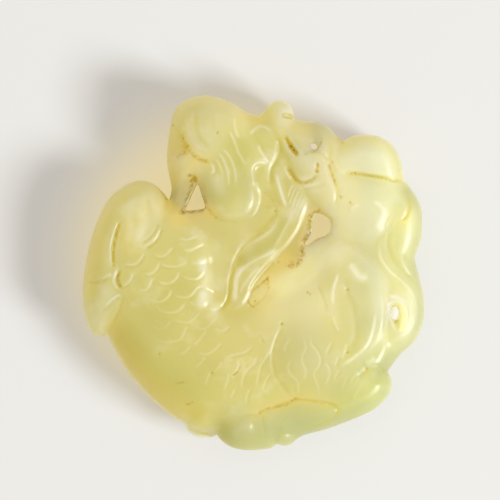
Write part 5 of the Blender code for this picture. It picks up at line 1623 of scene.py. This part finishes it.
@dataclass(frozen=True)
class Pool:
    """A painted pool of light on the floor, glowing on its own, for what comes down through the stone."""

    centre: Place
    reach: tuple[float, float]
    shade: Shade

    def lay(self, tree: Tree, glow: Socket) -> Socket:
        """Lay the spot over the floor's glow.

        Args:
            tree: the floor material's nodes.
            glow: the glow below.

        Returns:
            The glow with the spot.
        """
        place = tree.nodes.new("ShaderNodeTexCoord")
        away = tree.nodes.new("ShaderNodeVectorMath")
        away.operation = "DISTANCE"
        away.inputs[1].default_value = (*self.centre, 0.0)
        tree.links.new(place.outputs["Object"], away.inputs[0])
        fade = tree.nodes.new("ShaderNodeMapRange")
        fade.interpolation_type = "SMOOTHSTEP"
        fade.inputs["From Min"].default_value, fade.inputs["From Max"].default_value = self.reach
        tree.links.new(away.outputs["Value"], fade.inputs["Value"])
        mix = tree.nodes.new("ShaderNodeMix")
        mix.data_type = "RGBA"
        mix.inputs["A"].default_value = (*self.shade, 1.0)
        tree.links.new(glow, mix.inputs["B"])
        tree.links.new(fade.outputs["Result"], mix.inputs["Factor"])
        return mix.outputs["Result"]


@dataclass
class Studio:
    """Pale floor glowing with painted pools of light, broad low light from the right, even surround and the
    camera overhead.
    """

    field: float = 0.0846
    aim: Place = (-0.00056, 0.00383)
    aim_height: float = 0.007
    lens: float = 300.0
    sensor: float = 36.0
    floor_half: float = 0.6
    floor_shade: Shade = (0.465, 0.462, 0.455)
    floor_roughness: float = 0.9
    floor_shine: float = 0.1
    floor_glow: float = 0.33
    glow_shade: Shade = (1.0, 0.94, 0.86)
    # Painted pools of light on the floor: a warm one under the stone, small bright ones under the tail hole
    # and the cord hole
    pools: tuple[Pool, ...] = (
        Pool(centre=(-0.005, 0.002), reach=(0.016, 0.033), shade=(1.70, 1.46, 0.80)),
        Pool(centre=(0.0239, -0.0068), reach=(0.0012, 0.0036), shade=(2.15, 2.1, 1.8)),
        Pool(centre=(0.0104, 0.0213), reach=(0.001, 0.0045), shade=(1.7, 1.55, 1.25)),
    )
    key_from: tuple[float, float, float] = (0.73, -0.31, 0.58)
    key_distance: float = 2.0
    key_size: Place = (0.66, 0.52)
    key_power: float = 48.0
    key_shade: Shade = (0.91, 0.965, 1.0)
    surround: float = 0.50
    surround_shade: Shade = (1.0, 0.965, 0.91)
    nearest: float = 0.01

    def floor(self) -> None:
        """Lay the pale floor, which glows evenly and with painted pools of light."""
        bpy.ops.mesh.primitive_plane_add(size=self.floor_half * 2, location=(0.0, 0.0, 0.0))
        plane = bpy.context.object
        plane.name = "studio_floor"
        paint = bpy.data.materials.new("floor_paint")
        paint.use_nodes = True
        shader = paint.node_tree.nodes["Principled BSDF"]
        shader.inputs["Base Color"].default_value = (*self.floor_shade, 1.0)
        shader.inputs["Roughness"].default_value = self.floor_roughness
        shader.inputs["Specular IOR Level"].default_value = self.floor_shine
        shader.inputs["Emission Strength"].default_value = self.floor_glow
        paint.node_tree.links.new(self.glow(paint.node_tree), shader.inputs["Emission Color"])
        plane.data.materials.append(paint)

    def glow(self, tree: Tree) -> Socket:
        """Colour of the floor's glow, with its painted pools of light.

        Args:
            tree: the floor material's nodes.

        Returns:
            The colour of the glow at each place.
        """
        even = tree.nodes.new("ShaderNodeRGB")
        even.outputs[0].default_value = (*self.glow_shade, 1.0)
        found = even.outputs[0]
        for pool in self.pools:
            found = pool.lay(tree, found)
        return found

    def lights(self) -> None:
        """Hang the key light and the surround."""
        toward = Vector(self.key_from).normalized()
        lamp = bpy.data.lights.new("key", "AREA")
        lamp.shape = "RECTANGLE"
        lamp.size, lamp.size_y = self.key_size
        lamp.energy = self.key_power
        lamp.color = self.key_shade
        key = bpy.data.objects.new("key", lamp)
        key.location = toward * self.key_distance
        key.rotation_euler = (-toward).to_track_quat("-Z", "Y").to_euler()
        bpy.context.collection.objects.link(key)
        world = bpy.data.worlds.new("surround")
        world.use_nodes = True
        sky = world.node_tree.nodes["Background"]
        sky.inputs["Color"].default_value = (*self.surround_shade, 1.0)
        sky.inputs["Strength"].default_value = self.surround
        bpy.context.scene.world = world

    def camera(self) -> None:
        """Hang the camera straight above the pendant."""
        data = bpy.data.cameras.new("camera")
        data.lens = self.lens
        data.sensor_width = self.sensor
        data.clip_start = self.nearest
        camera = bpy.data.objects.new("camera", data)
        distance = self.field * self.lens / self.sensor
        camera.location = (self.aim[0], self.aim[1], self.aim_height + distance)
        bpy.context.collection.objects.link(camera)
        bpy.context.scene.camera = camera
        bpy.context.scene.view_settings.view_transform = "Standard"

    def make(self) -> None:
        """Set the whole studio up."""
        self.camera()
        self.floor()
        self.lights()


def main() -> None:
    """Carve, dress and light the pendant."""
    logging.basicConfig(level=logging.INFO, format="%(message)s")
    bpy.ops.object.select_all(action="DESELECT")
    Studio().make()
    carving = Carving()
    piece = carving.make()
    carving.dress(piece, Jade())
    LOG.info("%s: %d triangles", piece.name, len(piece.data.polygons))


if __name__ == "__main__":
    main()
